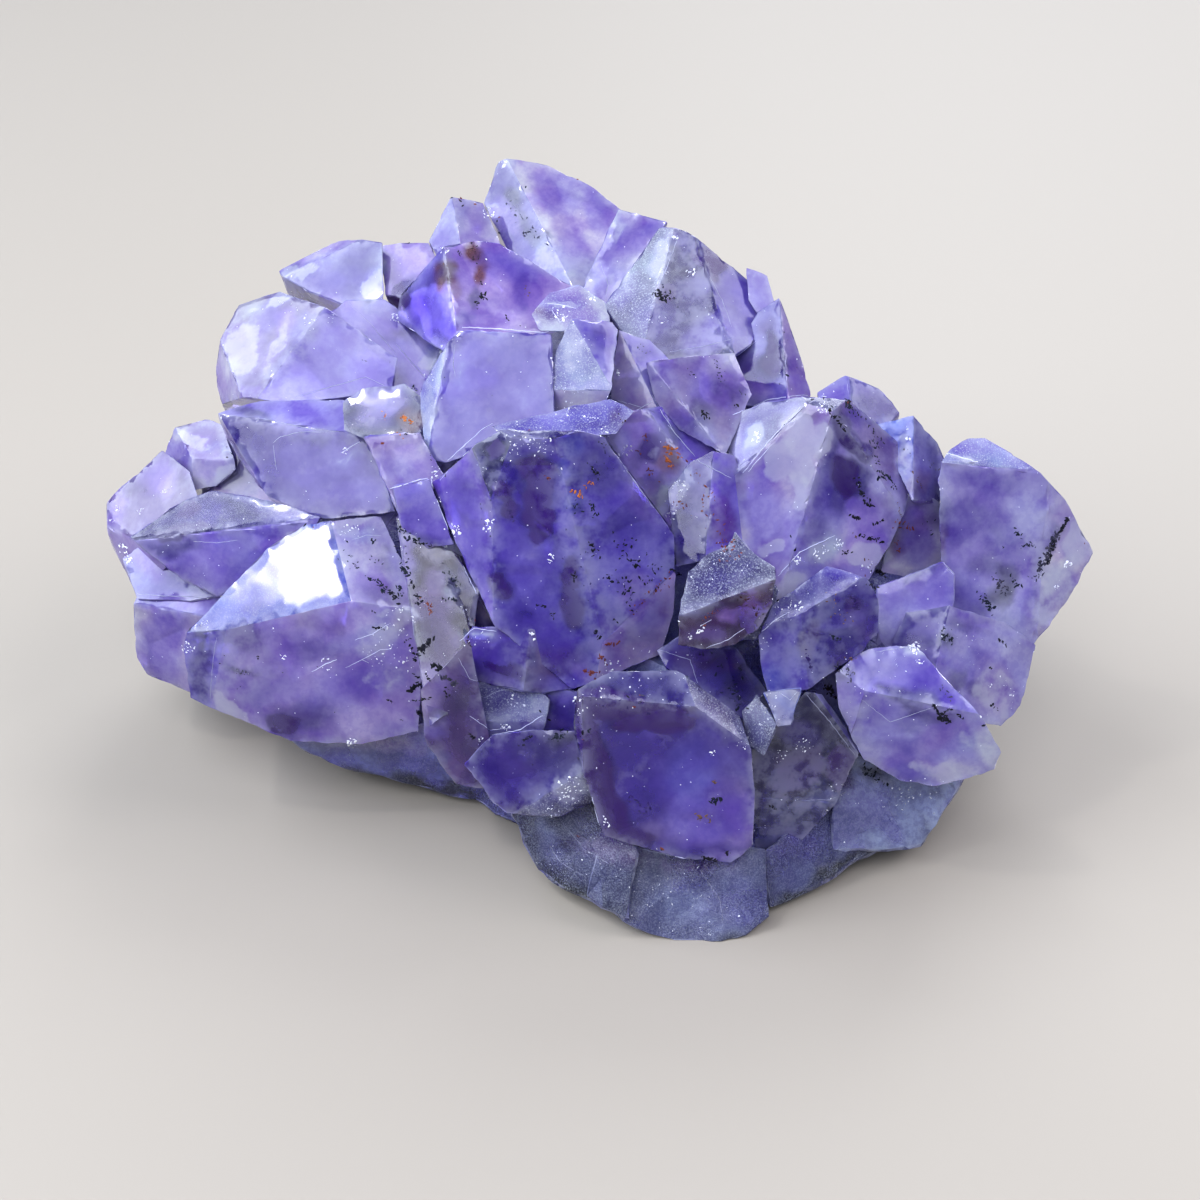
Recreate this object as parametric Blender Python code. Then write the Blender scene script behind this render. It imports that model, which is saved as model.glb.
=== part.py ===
"""Amethyst cluster: quartz crystals grown together on a bluish quartz base.

One solid.  Every crystal of the seen side is given by its facets: each facet
is the list of its corners as sighted from one viewpoint (pixels of a 1200 px
square frame) and the way it faces (azimuth from the viewer, + to the right;
elevation above the horizon).  The planes of one crystal are then computed
together, so that neighbouring facets meet in the drawn edges, and the crystal
is the room behind its planes.  The crystals of the far side are ideal quartz:
a hexagonal prism with six cap faces at 38.2 degrees to its axis.
"""
import bpy
import bmesh
import math
import numpy as np
from mathutils import Vector

# ------------------------------------------------------------------ dimensions
MM = 0.001                      # one millimetre in metres
EYE_DEPTH = 149.0               # viewpoint to the aim point, mm
AIM = (0.0, 0.0, 20.0)          # point on the sight axis, mm
EYE_PITCH = 34.0                # sight axis below the horizon, degrees
FOCAL = 1600.0                  # focal length in pixels of the 1200 px frame
FRAME = 1200.0
CAP_ANGLE = 38.2                # quartz cap face to the crystal's axis, degrees
ORIGIN = (-2.109, 12.918, 0.0)   # bottom centre of the finished solid, mm

P = math.radians(EYE_PITCH)
FWD = np.array([0.0, math.cos(P), -math.sin(P)])
RIGHT = np.array([1.0, 0.0, 0.0])
UP = np.array([0.0, math.sin(P), math.cos(P)])
EYE = np.array(AIM) - EYE_DEPTH * FWD


def sight(x, y):
    """Direction of the sight line through a pixel; its depth component is 1."""
    h = FRAME / 2
    return FWD + (x - h) / FOCAL * RIGHT + (h - y) / FOCAL * UP


def at_height(x, y, z):
    """The point on a sight line at a height, mm."""
    d = sight(x, y)
    return EYE + d * ((z - EYE[2]) / d[2])


def facing(az, el):
    """Unit normal from azimuth (0 = towards the viewer, + right) and elevation."""
    a, e = math.radians(az), math.radians(el)
    return np.array([math.sin(a) * math.cos(e), -math.cos(a) * math.cos(e), math.sin(e)])


# --------------------------------------------------------- crystals as sighted
# name: (corner that fixes the depth: x, y, height mm), back slope, length mm,
#       facets [(azimuth, elevation, corners)]
SEEN = {
    # far top
    "T1": ((506, 158, 47.5), (36, -24), 40, [
        (22, 50, [(506, 158), (544, 164), (591, 186), (623, 211), (600, 262), (578, 296), (550, 239)]),
        (-40, 42, [(498, 162), (506, 158), (550, 239), (578, 296), (520, 275), (484, 203)])]),
    "T2": ((450, 197, 45.0), (38, -20), 36, [
        (-50, 40, [(450, 197), (429, 241), (440, 262), (463, 262), (461, 231)]),
        (25, 42, [(450, 197), (483, 203), (505, 250), (463, 262), (461, 231)])]),
    "T3": ((400, 243, 42.0), (36, -20), 34, [
        (-20, 55, [(380, 245), (400, 243), (429, 242), (440, 262), (410, 300), (385, 295)])]),
    "T4": ((473, 241, 45.0), 30, 26, [
        (8, 42, [(443, 247), (473, 241), (499, 242), (576, 288), (556, 333), (457, 333)]),
        (-55, 30, [(430, 261), (443, 247), (457, 333), (440, 350), (395, 320), (400, 296)])]),
    "T5": ((457, 329, 42.5), 18, 28, [
        (-4, 33, [(457, 329), (552, 333), (556, 425), (491, 430), (447, 464), (427, 460), (432, 400), (449, 345)]),
        (-62, 33, [(449, 345), (432, 400), (427, 460), (418, 400), (420, 387)])]),
    "T6": ((570, 318, 43.5), 15, 24, [
        (-28, 45, [(570, 318), (610, 375), (611, 391), (556, 390), (552, 360)]),
        (38, 45, [(570, 318), (613, 322), (619, 330), (611, 391), (610, 375)]),
        (-12, 5, [(556, 390), (611, 391), (600, 416), (557, 420)])]),
    "T6b": ((560, 303, 43.0), 15, 18, [
        (5, 55, [(530, 315), (548, 292), (580, 284), (606, 302), (612, 322), (570, 332), (540, 332)])]),
    "T7": ((619, 330, 41.5), 12, 24, [
        (-22, 35, [(619, 330), (651, 393), (633, 411), (611, 399), (611, 374)]),
        (35, 42, [(619, 330), (650, 340), (705, 395), (683, 420), (651, 393)])]),
    "T8": ((672, 358, 40.0), 12, 24, [
        (20, 42, [(645, 362), (672, 358), (735, 352), (752, 395), (726, 455), (710, 439), (683, 399)]),
        (-25, 22, [(645, 362), (683, 399), (710, 439), (679, 430), (655, 401)])]),
    "T9": ((679, 233, 46.0), (34, -12), 40, [
        (-48, 42, [(645, 251), (663, 221), (679, 233), (663, 277), (647, 306), (645, 362), (621, 332), (603, 306)]),
        (12, 58, [(679, 233), (690, 231), (706, 270), (663, 277)]),
        (-4, 28, [(663, 277), (706, 270), (732, 330), (730, 360), (645, 362), (647, 306)]),
        (46, 40, [(690, 231), (744, 263), (770, 300), (752, 345), (730, 360), (732, 330), (706, 270)])]),
    "T10": ((762, 272, 42.0), (34, -15), 30, [
        (35, 40, [(746, 267), (768, 275), (775, 302), (768, 330), (748, 300)])]),
    "T11": ((779, 297, 41.0), (32, -12), 36, [
        (-35, 35, [(779, 297), (787, 370), (788, 410), (738, 405), (730, 352), (746, 335), (758, 312)]),
        (52, 30, [(779, 297), (791, 326), (805, 378), (812, 396), (788, 410), (787, 370)])]),
    # left
    "L1": ((347, 246, 42.0), (38, -20), 38, [
        (-12, 50, [(282, 277), (347, 246), (383, 242), (384, 302), (345, 306), (309, 292)]),
        (-62, 62, [(278, 270), (339, 240), (347, 246), (282, 277)])]),
    "L2": ((323, 317, 38.5), (30, -14), 38, [
        (-34, 52, [(219, 342), (236, 305), (280, 291), (323, 317), (303, 323), (268, 386), (242, 396)]),
        (14, 38, [(303, 323), (323, 317), (398, 358), (392, 392), (288, 404), (268, 386)]),
        (-78, 22, [(219, 342), (242, 396), (222, 404), (216, 386), (216, 354)])]),
    "L3": ((217, 413, 33.0), 20, 34, [
        (-8, 72, [(217, 413), (260, 400), (349, 400), (362, 420), (343, 432), (317, 429), (258, 418)]),
        (2, 30, [(217, 413), (258, 418), (317, 429), (343, 432), (365, 439), (396, 512), (319, 520), (268, 497)]),
        (-62, 5, [(217, 413), (268, 497), (240, 462), (222, 430)])]),
    "L3b": ((362, 398, 36.0), 12, 20, [
        (-15, 48, [(342, 402), (362, 388), (405, 384), (428, 402), (420, 440), (365, 440), (343, 430)])]),
    "L4": ((209, 419, 29.5), (30, -12), 34, [
        (-25, 62, [(175, 427), (209, 419), (222, 424), (234, 458), (187, 454)]),
        (-12, 22, [(187, 454), (234, 458), (236, 470), (216, 486), (195, 489)]),
        (-62, 28, [(175, 427), (187, 454), (195, 489), (168, 498), (158, 470)])]),
    "L4b": ((141, 491, 24.0), (30, -6), 34, [
        (-30, 45, [(163, 449), (190, 470), (200, 500), (140, 540), (106, 528), (106, 503), (112, 495), (141, 491)]),
        (-55, 5, [(106, 528), (140, 540), (165, 570), (137, 593), (126, 564), (110, 544)])]),
    "L5": ((127, 537, 24.0), (20, 0), 40, [
        (-14, 60, [(127, 537), (185, 499), (213, 489), (285, 503), (290, 516), (216, 542)]),
        (-12, 12, [(127, 537), (216, 542), (290, 516), (322, 516), (300, 560), (218, 597), (183, 580)])]),
    "L6": ((187, 632, 20.5), 20, 44, [
        (-26, 60, [(187, 632), (268, 548), (303, 525), (330, 530), (353, 601), (217, 632)]),
        (-76, 0, [(187, 632), (217, 632), (213, 698), (190, 698), (183, 650)]),
        (-4, 10, [(217, 632), (353, 601), (425, 611), (432, 660), (429, 729), (362, 745), (290, 741), (241, 716), (213, 698)]),
        (24, 52, [(330, 530), (395, 515), (412, 560), (425, 611), (353, 601)])]),
    "L7": ((137, 605, 16.0), 25, 30, [
        (-20, 58, [(137, 594), (165, 584), (220, 592), (205, 618), (187, 611), (137, 605)]),
        (-16, 2, [(137, 605), (187, 611), (205, 618), (195, 650), (192, 694), (147, 675), (136, 657), (134, 635)])]),
    # centre
    "C1": ((552, 436, 38.5), 10, 44, [
        (-46, 22, [(430, 479), (475, 445), (489, 503), (495, 627), (477, 586), (455, 542)]),
        (-34, 38, [(475, 445), (497, 429), (512, 441), (505, 470), (489, 503)]),
        (0, 68, [(497, 429), (588, 431), (552, 436), (512, 441)]),
        (-10, 18, [(512, 441), (552, 436), (578, 548), (600, 625), (606, 668), (572, 690), (495, 627), (489, 503), (505, 470)]),
        (34, 20, [(552, 436), (588, 431), (605, 437), (623, 465), (661, 516), (674, 535), (676, 568), (600, 625), (578, 548)]),
        (22, -8, [(600, 625), (676, 568), (674, 613), (661, 655), (613, 667), (606, 668)])]),
    "C2": ((430, 478, 33.0), 12, 20, [
        (-14, 24, [(392, 486), (430, 478), (455, 545), (427, 550), (400, 528)])]),
    "C3": ((453, 550, 27.0), 10, 20, [
        (4, 35, [(398, 528), (425, 548), (453, 550), (480, 588), (476, 628), (429, 620), (406, 580)])]),
    "C3b": ((430, 615, 22.5), 10, 20, [
        (8, 40, [(395, 515), (430, 540), (462, 600), (474, 640), (466, 700), (429, 729), (420, 640)])]),
    "C4": ((531, 641, 21.5), 12, 18, [
        (-18, 22, [(460, 640), (473, 626), (497, 630), (531, 641), (521, 682), (487, 684), (469, 680), (458, 655)]),
        (22, 26, [(531, 641), (602, 640), (610, 663), (574, 690), (541, 694), (521, 682)])]),
    "C5": ((519, 677, 18.0), 12, 18, [
        (-4, 42, [(456, 706), (473, 683), (519, 677), (551, 700), (549, 712), (525, 730), (491, 736), (462, 720)]),
        (-2, -5, [(456, 706), (462, 720), (491, 736), (525, 730), (549, 712), (545, 735), (495, 755), (462, 740)])]),
    "C6": ((491, 734, 15.5), 18, 24, [
        (-22, 22, [(463, 764), (491, 734), (541, 728), (580, 730), (582, 776), (529, 808), (505, 814), (490, 800)]),
        (20, 10, [(529, 808), (582, 776), (596, 800), (560, 818), (505, 814)])]),
    "C7": ((640, 408, 36.5), 8, 20, [
        (-14, 26, [(605, 437), (618, 412), (640, 408), (668, 425), (690, 470), (688, 520), (674, 535), (661, 516), (623, 465)]),
        (30, 35, [(640, 408), (672, 405), (712, 438), (726, 470), (690, 470), (668, 425)])]),
    "C8": ((712, 450, 34.0), 8, 22, [
        (-20, 34, [(668, 490), (690, 462), (712, 450), (716, 520), (700, 556), (676, 568), (672, 532)]),
        (22, 30, [(712, 450), (735, 455), (748, 500), (742, 545), (716, 556), (700, 556), (716, 520)])]),
    # between the others
    "N1": ((381, 300, 38.5), 10, 20, [
        (10, 36, [(323, 317), (345, 300), (384, 298), (410, 318), (445, 348), (434, 392), (425, 402), (365, 405), (398, 358)])]),
    "N2": ((420, 432, 35.5), 8, 18, [
        (12, 34, [(362, 436), (420, 432), (436, 462), (448, 480), (394, 492), (398, 515)])]),
    "N3": ((645, 222, 45.0), (34, -22), 38, [
        (-18, 46, [(618, 208), (645, 220), (668, 222), (650, 251), (606, 306), (585, 310), (578, 296)])]),
    "N4": ((556, 412, 39.0), 10, 18, [
        (-4, 58, [(491, 426), (556, 412), (611, 398), (634, 411), (616, 434), (588, 434), (552, 438), (497, 432)])]),
    "N5": ((222, 424, 29.5), 12, 20, [
        (-4, 42, [(222, 424), (245, 448), (270, 495), (290, 508), (222, 504), (205, 484)])]),
    "N6": ((440, 700, 17.0), 12, 20, [
        (-6, 6, [(420, 690), (470, 640), (472, 706), (500, 790), (455, 785), (425, 740)])]),
    "N7": ((770, 600, 25.5), 8, 20, [
        (-10, 30, [(735, 530), (780, 590), (775, 612), (757, 640), (730, 640), (700, 600)])]),
    "N8": ((165, 566, 19.0), 18, 24, [
        (-14, 48, [(122, 558), (140, 545), (185, 575), (222, 597), (190, 602), (136, 600)])]),
    "N9": ((560, 692, 16.5), 8, 16, [
        (-4, 20, [(528, 690), (560, 688), (584, 692), (586, 760), (552, 745), (530, 730)])]),
    "N10": ((478, 590, 22.5), 8, 16, [
        (-10, 22, [(452, 550), (470, 560), (492, 600), (505, 640), (470, 648), (456, 610)])]),
    # front
    "F1": ((577, 690, 22.0), 14, 34, [
        (4, 68, [(577, 690), (612, 671), (677, 670), (693, 690), (699, 709), (673, 701), (586, 698)]),
        (60, 42, [(677, 670), (740, 715), (751, 747), (699, 709), (693, 690)]),
        (3, 14, [(586, 698), (673, 701), (699, 709), (751, 747), (755, 796), (753, 846), (731, 863), (681, 859), (646, 848), (604, 836), (590, 794), (583, 770)]),
        (-60, 5, [(577, 690), (586, 698), (583, 770), (573, 723)])]),
    # right
    "R1": ((832, 408, 38.0), 15, 40, [
        (-48, 46, [(732, 415), (767, 401), (802, 397), (808, 405), (743, 474), (728, 478), (728, 451)]),
        (-22, 24, [(808, 405), (832, 408), (806, 534), (775, 602), (735, 530), (728, 478), (743, 474)]),
        (24, 20, [(832, 408), (844, 425), (871, 470), (901, 508), (889, 546), (870, 580), (828, 572), (775, 602), (806, 534)]),
        (60, 32, [(832, 408), (850, 399), (897, 441), (912, 468), (906, 508), (901, 508), (871, 470), (844, 425)]),
        (0, 75, [(802, 397), (850, 399), (832, 408), (808, 405)])]),
    "R2": ((913, 415, 35.0), (30, -16), 32, [
        (-26, 42, [(875, 424), (913, 415), (916, 462), (912, 500), (897, 445)]),
        (50, 30, [(913, 415), (937, 443), (946, 462), (940, 505), (912, 500), (916, 462)])]),
    "R3": ((845, 374, 37.0), (34, -20), 34, [
        (-25, 48, [(816, 392), (845, 374), (858, 398), (852, 425), (826, 420)]),
        (35, 48, [(845, 374), (880, 388), (901, 412), (885, 430), (852, 425), (858, 398)])]),
    "R4": ((916, 493, 29.0), 12, 22, [
        (8, 18, [(901, 500), (916, 490), (938, 500), (952, 518), (950, 545), (943, 563), (916, 585), (876, 586), (885, 549)])]),
    "R5": ((1032, 474, 32.0), (34, 12), 32, [
        (-3, 26, [(938, 480), (949, 462), (999, 464), (1032, 474), (1070, 514), (1052, 560), (1044, 600), (1024, 659), (945, 622), (940, 560)]),
        (2, 64, [(949, 462), (949, 448), (968, 437), (986, 437), (1012, 453), (1032, 474), (999, 464)]),
        (52, 8, [(1032, 474), (1066, 500), (1084, 535), (1094, 552), (1079, 575), (1070, 598), (1024, 659), (1044, 600), (1052, 560), (1070, 514)])]),
    "R6": ((943, 561, 25.5), 10, 22, [
        (-10, 32, [(876, 586), (908, 579), (943, 561), (955, 575), (955, 610), (908, 616), (891, 650), (876, 652)])]),
    "R7": ((949, 605, 23.5), 14, 26, [
        (-24, 42, [(888, 650), (906, 612), (949, 605), (939, 660), (917, 650)]),
        (24, 20, [(949, 605), (975, 616), (1005, 622), (1036, 645), (1019, 672), (1016, 684), (1021, 707), (1001, 727), (960, 718), (939, 690), (939, 660)])]),
    "R8": ((870, 690, 20.5), 16, 30, [
        (2, 44, [(835, 674), (862, 651), (890, 646), (920, 645), (938, 658), (941, 690), (931, 707), (870, 690)]),
        (-40, 10, [(835, 674), (870, 690), (850, 735), (838, 710)]),
        (6, 6, [(870, 690), (931, 707), (985, 722), (1003, 747), (995, 770), (967, 778), (935, 786), (900, 781), (862, 759), (850, 735)])]),
    "M1": ((795, 611, 26.5), 12, 30, [
        (-24, 58, [(757, 637), (773, 605), (827, 565), (868, 578), (807, 611), (795, 611)]),
        (-30, 12, [(757, 637), (795, 611), (812, 640), (813, 676), (807, 690), (767, 692), (760, 662)]),
        (32, 16, [(795, 611), (807, 611), (868, 578), (879, 599), (879, 631), (864, 650), (823, 676), (813, 676), (812, 640)])]),
    "M2": ((775, 568, 30.5), 12, 26, [
        (-12, 62, [(688, 571), (709, 552), (739, 540), (775, 568), (771, 580), (725, 599), (686, 614)]),
        (4, 6, [(686, 614), (725, 599), (771, 580), (773, 605), (757, 630), (735, 645), (708, 650), (678, 645)])]),
    "M3": ((700, 645, 20.0), 10, 18, [
        (10, 40, [(655, 650), (680, 635), (735, 645), (768, 690), (745, 722), (700, 690), (665, 668)])]),
    "M4": ((803, 688, 21.0), 12, 18, [
        (-10, 52, [(763, 692), (803, 686), (792, 726), (776, 728)])]),
    "M5": ((757, 694, 19.5), 12, 18, [
        (-34, 38, [(741, 712), (757, 692), (778, 724), (765, 757), (745, 745)])]),
    "M6": ((803, 690, 20.5), 14, 28, [
        (2, 10, [(803, 690), (858, 757), (846, 793), (826, 800), (780, 808), (751, 790), (751, 749), (789, 722)]),
        (58, 25, [(803, 690), (822, 694), (860, 748), (858, 757)]),
        (4, 12, [(751, 790), (780, 808), (826, 800), (808, 835), (780, 862), (755, 856)])]),
}


# the far wall behind the seen crystals: azimuth, distance from the origin at a
# height, mm; it leans in towards the base by WALL_LEAN degrees
WALL = [(180, 52, 45), (-150, 49, 45), (-110, 54, 25), (150, 40, 45), (120, 45, 30)]
WALL_LEAN = 12.0


def crystal_planes(anchor, back, length, facets):
    """Planes (normal, offset) of one sighted crystal, mm: its facets, its
    outline and its root."""
    x0, y0, z0 = anchor
    inv0 = 1.0 / np.dot(at_height(x0, y0, z0) - EYE, FWD)
    h = FRAME / 2
    uv = lambda p: ((p[0] - h) / FOCAL, (h - p[1]) / FOCAL)
    # unknown: 1/depth = a u + b v + c on each facet
    nf = len(facets)
    rows, rhs = [], []

    def row(parts, value, weight):
        r = np.zeros(3 * nf)
        for f, k, c in parts:
            r[3 * f + k] += c
        rows.append(r * weight)
        rhs.append(value * weight)

    corners = {}
    for f, (az, el, pts) in enumerate(facets):
        for p in pts:
            corners.setdefault(p, []).append(f)
    scale = 1.0 / inv0
    for p, fs in corners.items():
        u, v = uv(p)
        for g in fs[1:]:
            f = fs[0]
            row([(f, 0, u), (f, 1, v), (f, 2, 1), (g, 0, -u), (g, 1, -v), (g, 2, -1)], 0, 60 * scale)
    # the anchor lies on the facet(s) whose corner it is, or is nearest to
    near = min(corners, key=lambda p: (p[0] - x0) ** 2 + (p[1] - y0) ** 2)
    u, v = uv((x0, y0))
    for f in corners[near]:
        row([(f, 0, u), (f, 1, v), (f, 2, 1)], inv0, 60 * scale)
    for f, (az, el, pts) in enumerate(facets):
        n = facing(az, el)
        nr, nu, nd = n @ RIGHT, n @ UP, n @ FWD
        row([(f, 0, nd), (f, 2, -nr)], 0, scale)
        row([(f, 1, nd), (f, 2, -nu)], 0, scale)
    sol = np.linalg.lstsq(np.array(rows), np.array(rhs), rcond=None)[0].reshape(nf, 3)
    planes = []
    for a, b, c in sol:
        n = a * RIGHT + b * UP + c * FWD
        k = np.linalg.norm(n)
        # n.(P - EYE) = 1 ; outward normal is -n/k
        planes.append((-n / k, float((-n / k) @ EYE - 1.0 / k)))
    pos = {}
    for p, fs in corners.items():
        u, v = uv(p)
        inv = np.mean([sol[f] @ (u, v, 1.0) for f in fs])
        pos[p] = EYE + sight(*p) / inv
    # outline: convex hull of the drawn corners
    hull = outline(list(corners))
    mid = np.mean([pos[p] for p in hull], axis=0)
    for i, p in enumerate(hull):
        q = hull[(i + 1) % len(hull)]
        a, b = pos[p], pos[q]
        e = (b - a) / np.linalg.norm(b - a)
        ray = (a + b) / 2 - EYE
        m = np.cross(e, ray)
        m /= np.linalg.norm(m)
        if m @ (mid - a) > 0:
            m = -m
        k = np.cross(e, m)
        if k @ ray < 0:
            k = -k
        # the back slope of an edge that looks up, and of one that looks down
        up = float(m @ UP)
        t = math.radians(back[0] * (0.5 + 0.5 * up) + back[1] * (0.5 - 0.5 * up)) \
            if isinstance(back, tuple) else math.radians(back)
        n = math.cos(t) * m + math.sin(t) * k
        planes.append((n, float(n @ a)))
    # root: across the line of sight, at the crystal's length behind its front
    ray = mid - EYE
    ray /= np.linalg.norm(ray)
    front = min(float(ray @ v) for v in pos.values())
    planes.append((ray, front + length))
    for az, dist, z in WALL:
        n = facing(az, -WALL_LEAN)
        planes.append((n, dist * math.cos(math.radians(WALL_LEAN)) - z * math.sin(math.radians(WALL_LEAN))))
    return planes, pos


def outline(points):
    """Convex hull of points in the plane, in order."""
    pts = sorted(set(points))

    def half(seq):
        out = []
        for p in seq:
            while len(out) > 1 and (out[-1][0] - out[-2][0]) * (p[1] - out[-2][1]) \
                    - (out[-1][1] - out[-2][1]) * (p[0] - out[-2][0]) <= 1e-9:
                out.pop()
            out.append(p)
        return out[:-1]
    return half(pts) + half(pts[::-1])


# ------------------------------------------------------ crystals as ideal quartz
# name: tip x, y, z mm, azimuth it points to, elevation, twist, girth, length,
#       set-back of its six cap faces (mm)
FAR = {
    "B1": ((-29, 43, 30), -150, 36, 10, 16, 32, (0, 3, 1, 4, 0, 2)),
    "B2": ((-13, 52, 33), -168, 40, 25, 17, 34, (0, 2, 4, 0, 3, 1)),
    "B3": ((10, 50, 31), 170, 38, 5, 16, 34, (1, 0, 3, 1, 0, 4)),
    "B4": ((20, 36, 28), 150, 34, 40, 15, 30, (0, 2, 0, 4, 1, 3)),
    "B5": ((33, 25, 21), 128, 28, 20, 15, 28, (0, 3, 1, 0, 4, 1)),
    "B6": ((-41, 27, 23), -122, 24, 30, 15, 28, (0, 1, 4, 0, 2, 3)),
    "B7": ((-21, 50, 18), -160, 10, 15, 15, 32, (2, 0, 3, 0, 4, 1)),
    "B8": ((-2, 54, 19), 178, 12, 45, 17, 34, (0, 3, 0, 2, 0, 4)),
    "B9": ((18, 47, 16), 156, 12, 10, 15, 30, (1, 0, 4, 0, 2, 2)),
    "B10": ((31, 33, 12), 138, 6, 35, 14, 28, (0, 2, 1, 4, 0, 3)),
    "B11": ((-38, 39, 14), -140, 6, 5, 14, 30, (0, 4, 0, 2, 1, 3)),
    "B12": ((41, 15, 14), 104, 8, 20, 12, 26, (0, 2, 3, 0, 4, 0)),
    "B13": ((-44, 13, 12), -98, 4, 40, 12, 28, (2, 0, 1, 4, 0, 3)),
    "B14": ((-2, 46, 40), 180, 58, 12, 14, 30, (0, 2, 0, 3, 1, 4)),
    "B15": ((-32, 33, 35), -140, 52, 22, 13, 28, (0, 1, 3, 0, 4, 2)),
    "B16": ((29, 20, 29), 130, 50, 8, 12, 26, (0, 3, 0, 1, 4, 2)),
    "B17": ((-11, 49, 10), -170, -6, 30, 13, 28, (0, 2, 4, 0, 1, 3)),
    "B18": ((9, 47, 9), 168, -6, 12, 13, 28, (0, 3, 0, 4, 2, 0)),
    "B19": ((17, 31, 37), 150, 55, 30, 12, 26, (0, 2, 0, 3, 1, 4)),
    "B20": ((38, 12, 25), 115, 40, 15, 11, 24, (0, 1, 3, 0, 2, 4)),
    "B22": ((-16, 42, 41), -170, 70, 10, 12, 30, (0, 2, 1, 0, 3, 1)),
    "B21": ((-42, 22, 30), -120, 42, 12, 10, 24, (0, 3, 1, 0, 2, 4)),
}


def quartz_planes(tip, az, el, twist, girth, length, setback):
    tip = np.array(tip, float)
    axis = facing(az, el)
    side = np.cross(axis, [0, 0, 1.0])
    if np.linalg.norm(side) < 0.05:
        side = np.array([1.0, 0, 0])
    side /= np.linalg.norm(side)
    over = np.cross(side, axis)
    planes = []
    for k in range(6):
        a = math.radians(twist + 60 * k)
        radial = math.cos(a) * side + math.sin(a) * over
        wide = girth / 2 * (1 + 0.10 * math.sin(2.1 * k + twist))
        planes.append((radial, float(radial @ tip) + wide))
        c = math.radians(CAP_ANGLE)
        n = math.sin(c) * axis + math.cos(c) * radial
        planes.append((n, float(n @ tip) - setback[k % len(setback)]))
    planes.append((-axis, float(-axis @ tip) + length))
    return planes


# ------------------------------------------------------------------------ base
# lumps of the quartz base: planes from a ring of points
BASE_SEEN = {
    "K1": ((586, 897, 2.5), 10, 24, [
        (-34, 32, [(500, 796), (519, 824), (539, 873), (555, 887), (586, 897), (628, 922), (640, 850), (612, 800), (575, 770)])]),
    "K2": ((690, 941, 0.0), 6, 26, [
        (2, 40, [(604, 830), (700, 845), (765, 850), (770, 917), (745, 935), (717, 941), (673, 940), (650, 935), (624, 920), (586, 896)])]),
    "K3": ((787, 903, 1.0), 8, 26, [
        (26, 36, [(762, 850), (820, 805), (880, 772), (905, 800), (878, 851), (827, 877), (805, 889), (787, 903), (768, 917)])]),
    "K4": ((906, 851, 2.5), 12, 26, [
        (14, 30, [(862, 762), (900, 775), (967, 776), (950, 802), (938, 828), (924, 846), (906, 851), (872, 851), (830, 852), (832, 775), (850, 750)])]),
    "K5": ((430, 790, 1.5), 8, 24, [
        (-8, -6, [(290, 739), (330, 765), (372, 775), (430, 790), (482, 801), (500, 800), (490, 750), (429, 722), (340, 725)])]),
}
# lumps of the base that carry the whole: rings of (x, y) mm, bottom to top
FOOT = [(8, -20), (17, -14), (23, -2), (22, 14), (14, 26), (-2, 30), (-16, 24),
        (-22, 10), (-17, -1), (-4, -12)]
LUMPS = [
    # rings: (height mm, grow factor about the middle of the foot, shift x, y)
    ("foot", [(0.0, 1.0, 0, 0), (1.6, 1.05, 0, 1), (8.0, 1.10, 0, 6), (18.0, 0.95, 0, 10)]),
    ("back", [(2.2, 0.70, -2, 12), (7.0, 0.92, -2, 13), (17.0, 0.92, -2, 14), (26.0, 0.75, -4, 14)]),
    ("left", [(3.0, 0.55, -20, 10), (9.0, 0.80, -20, 12), (19.0, 0.80, -20, 14), (26.0, 0.6, -17, 16)]),
    ("right", [(4.0, 0.50, 20, 2), (9.0, 0.70, 20, 4), (17.0, 0.7, 20, 5), (22.0, 0.5, 19, 7)]),
]
# the inside that joins the crystals' roots: centre and radii, mm
CORE = [((0, 18, 16), (28, 20, 17)), ((-18, 20, 16), (18, 17, 14)), ((20, 12, 14), (16, 12, 10)),
        ((-9, 29, 24), (17, 13, 13))]


def ring_solid(name, rings, foot=None):
    """A convex lump through rings of the foot's outline."""
    ring = foot or FOOT
    cx = sum(p[0] for p in ring) / len(ring)
    cy = sum(p[1] for p in ring) / len(ring)
    bm = bmesh.new()
    for i, (z, grow, sx, sy) in enumerate(rings):
        for j, (x, y) in enumerate(ring):
            wob = 1 + (0.06 * math.sin(2.3 * j + 1.7 * i + len(name)) if z > 0 else 0)
            bm.verts.new(((cx + (x - cx) * grow * wob + sx) * MM, (cy + (y - cy) * grow * wob + sy) * MM, z * MM))
    return hull_object(name, bm)


def ball_solid(name, centre, radii):
    bm = bmesh.new()
    bmesh.ops.create_icosphere(bm, subdivisions=2, radius=1.0)
    for v in bm.verts:
        wob = 1 + 0.05 * math.sin(7 * v.co.x + 3 * v.co.y) * math.cos(5 * v.co.z)
        v.co = [(centre[k] + radii[k] * v.co[k] * wob) * MM for k in range(3)]
        v.co.z = max(v.co.z, 3.0 * MM)
    return hull_object(name, bm)


def hull_object(name, bm):
    res = bmesh.ops.convex_hull(bm, input=bm.verts[:])
    loose = {g for g in res["geom_interior"] + res["geom_unused"] if isinstance(g, bmesh.types.BMVert)}
    bmesh.ops.delete(bm, geom=list(loose), context='VERTS')
    bmesh.ops.delete(bm, geom=[e for e in bm.edges if not e.link_faces], context='EDGES')
    bmesh.ops.dissolve_limit(bm, angle_limit=math.radians(0.5), verts=bm.verts[:], edges=bm.edges[:])
    bmesh.ops.recalc_face_normals(bm, faces=bm.faces[:])
    mesh = bpy.data.meshes.new(name)
    bm.to_mesh(mesh)
    bm.free()
    obj = bpy.data.objects.new(name, mesh)
    bpy.context.scene.collection.objects.link(obj)
    return obj


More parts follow.
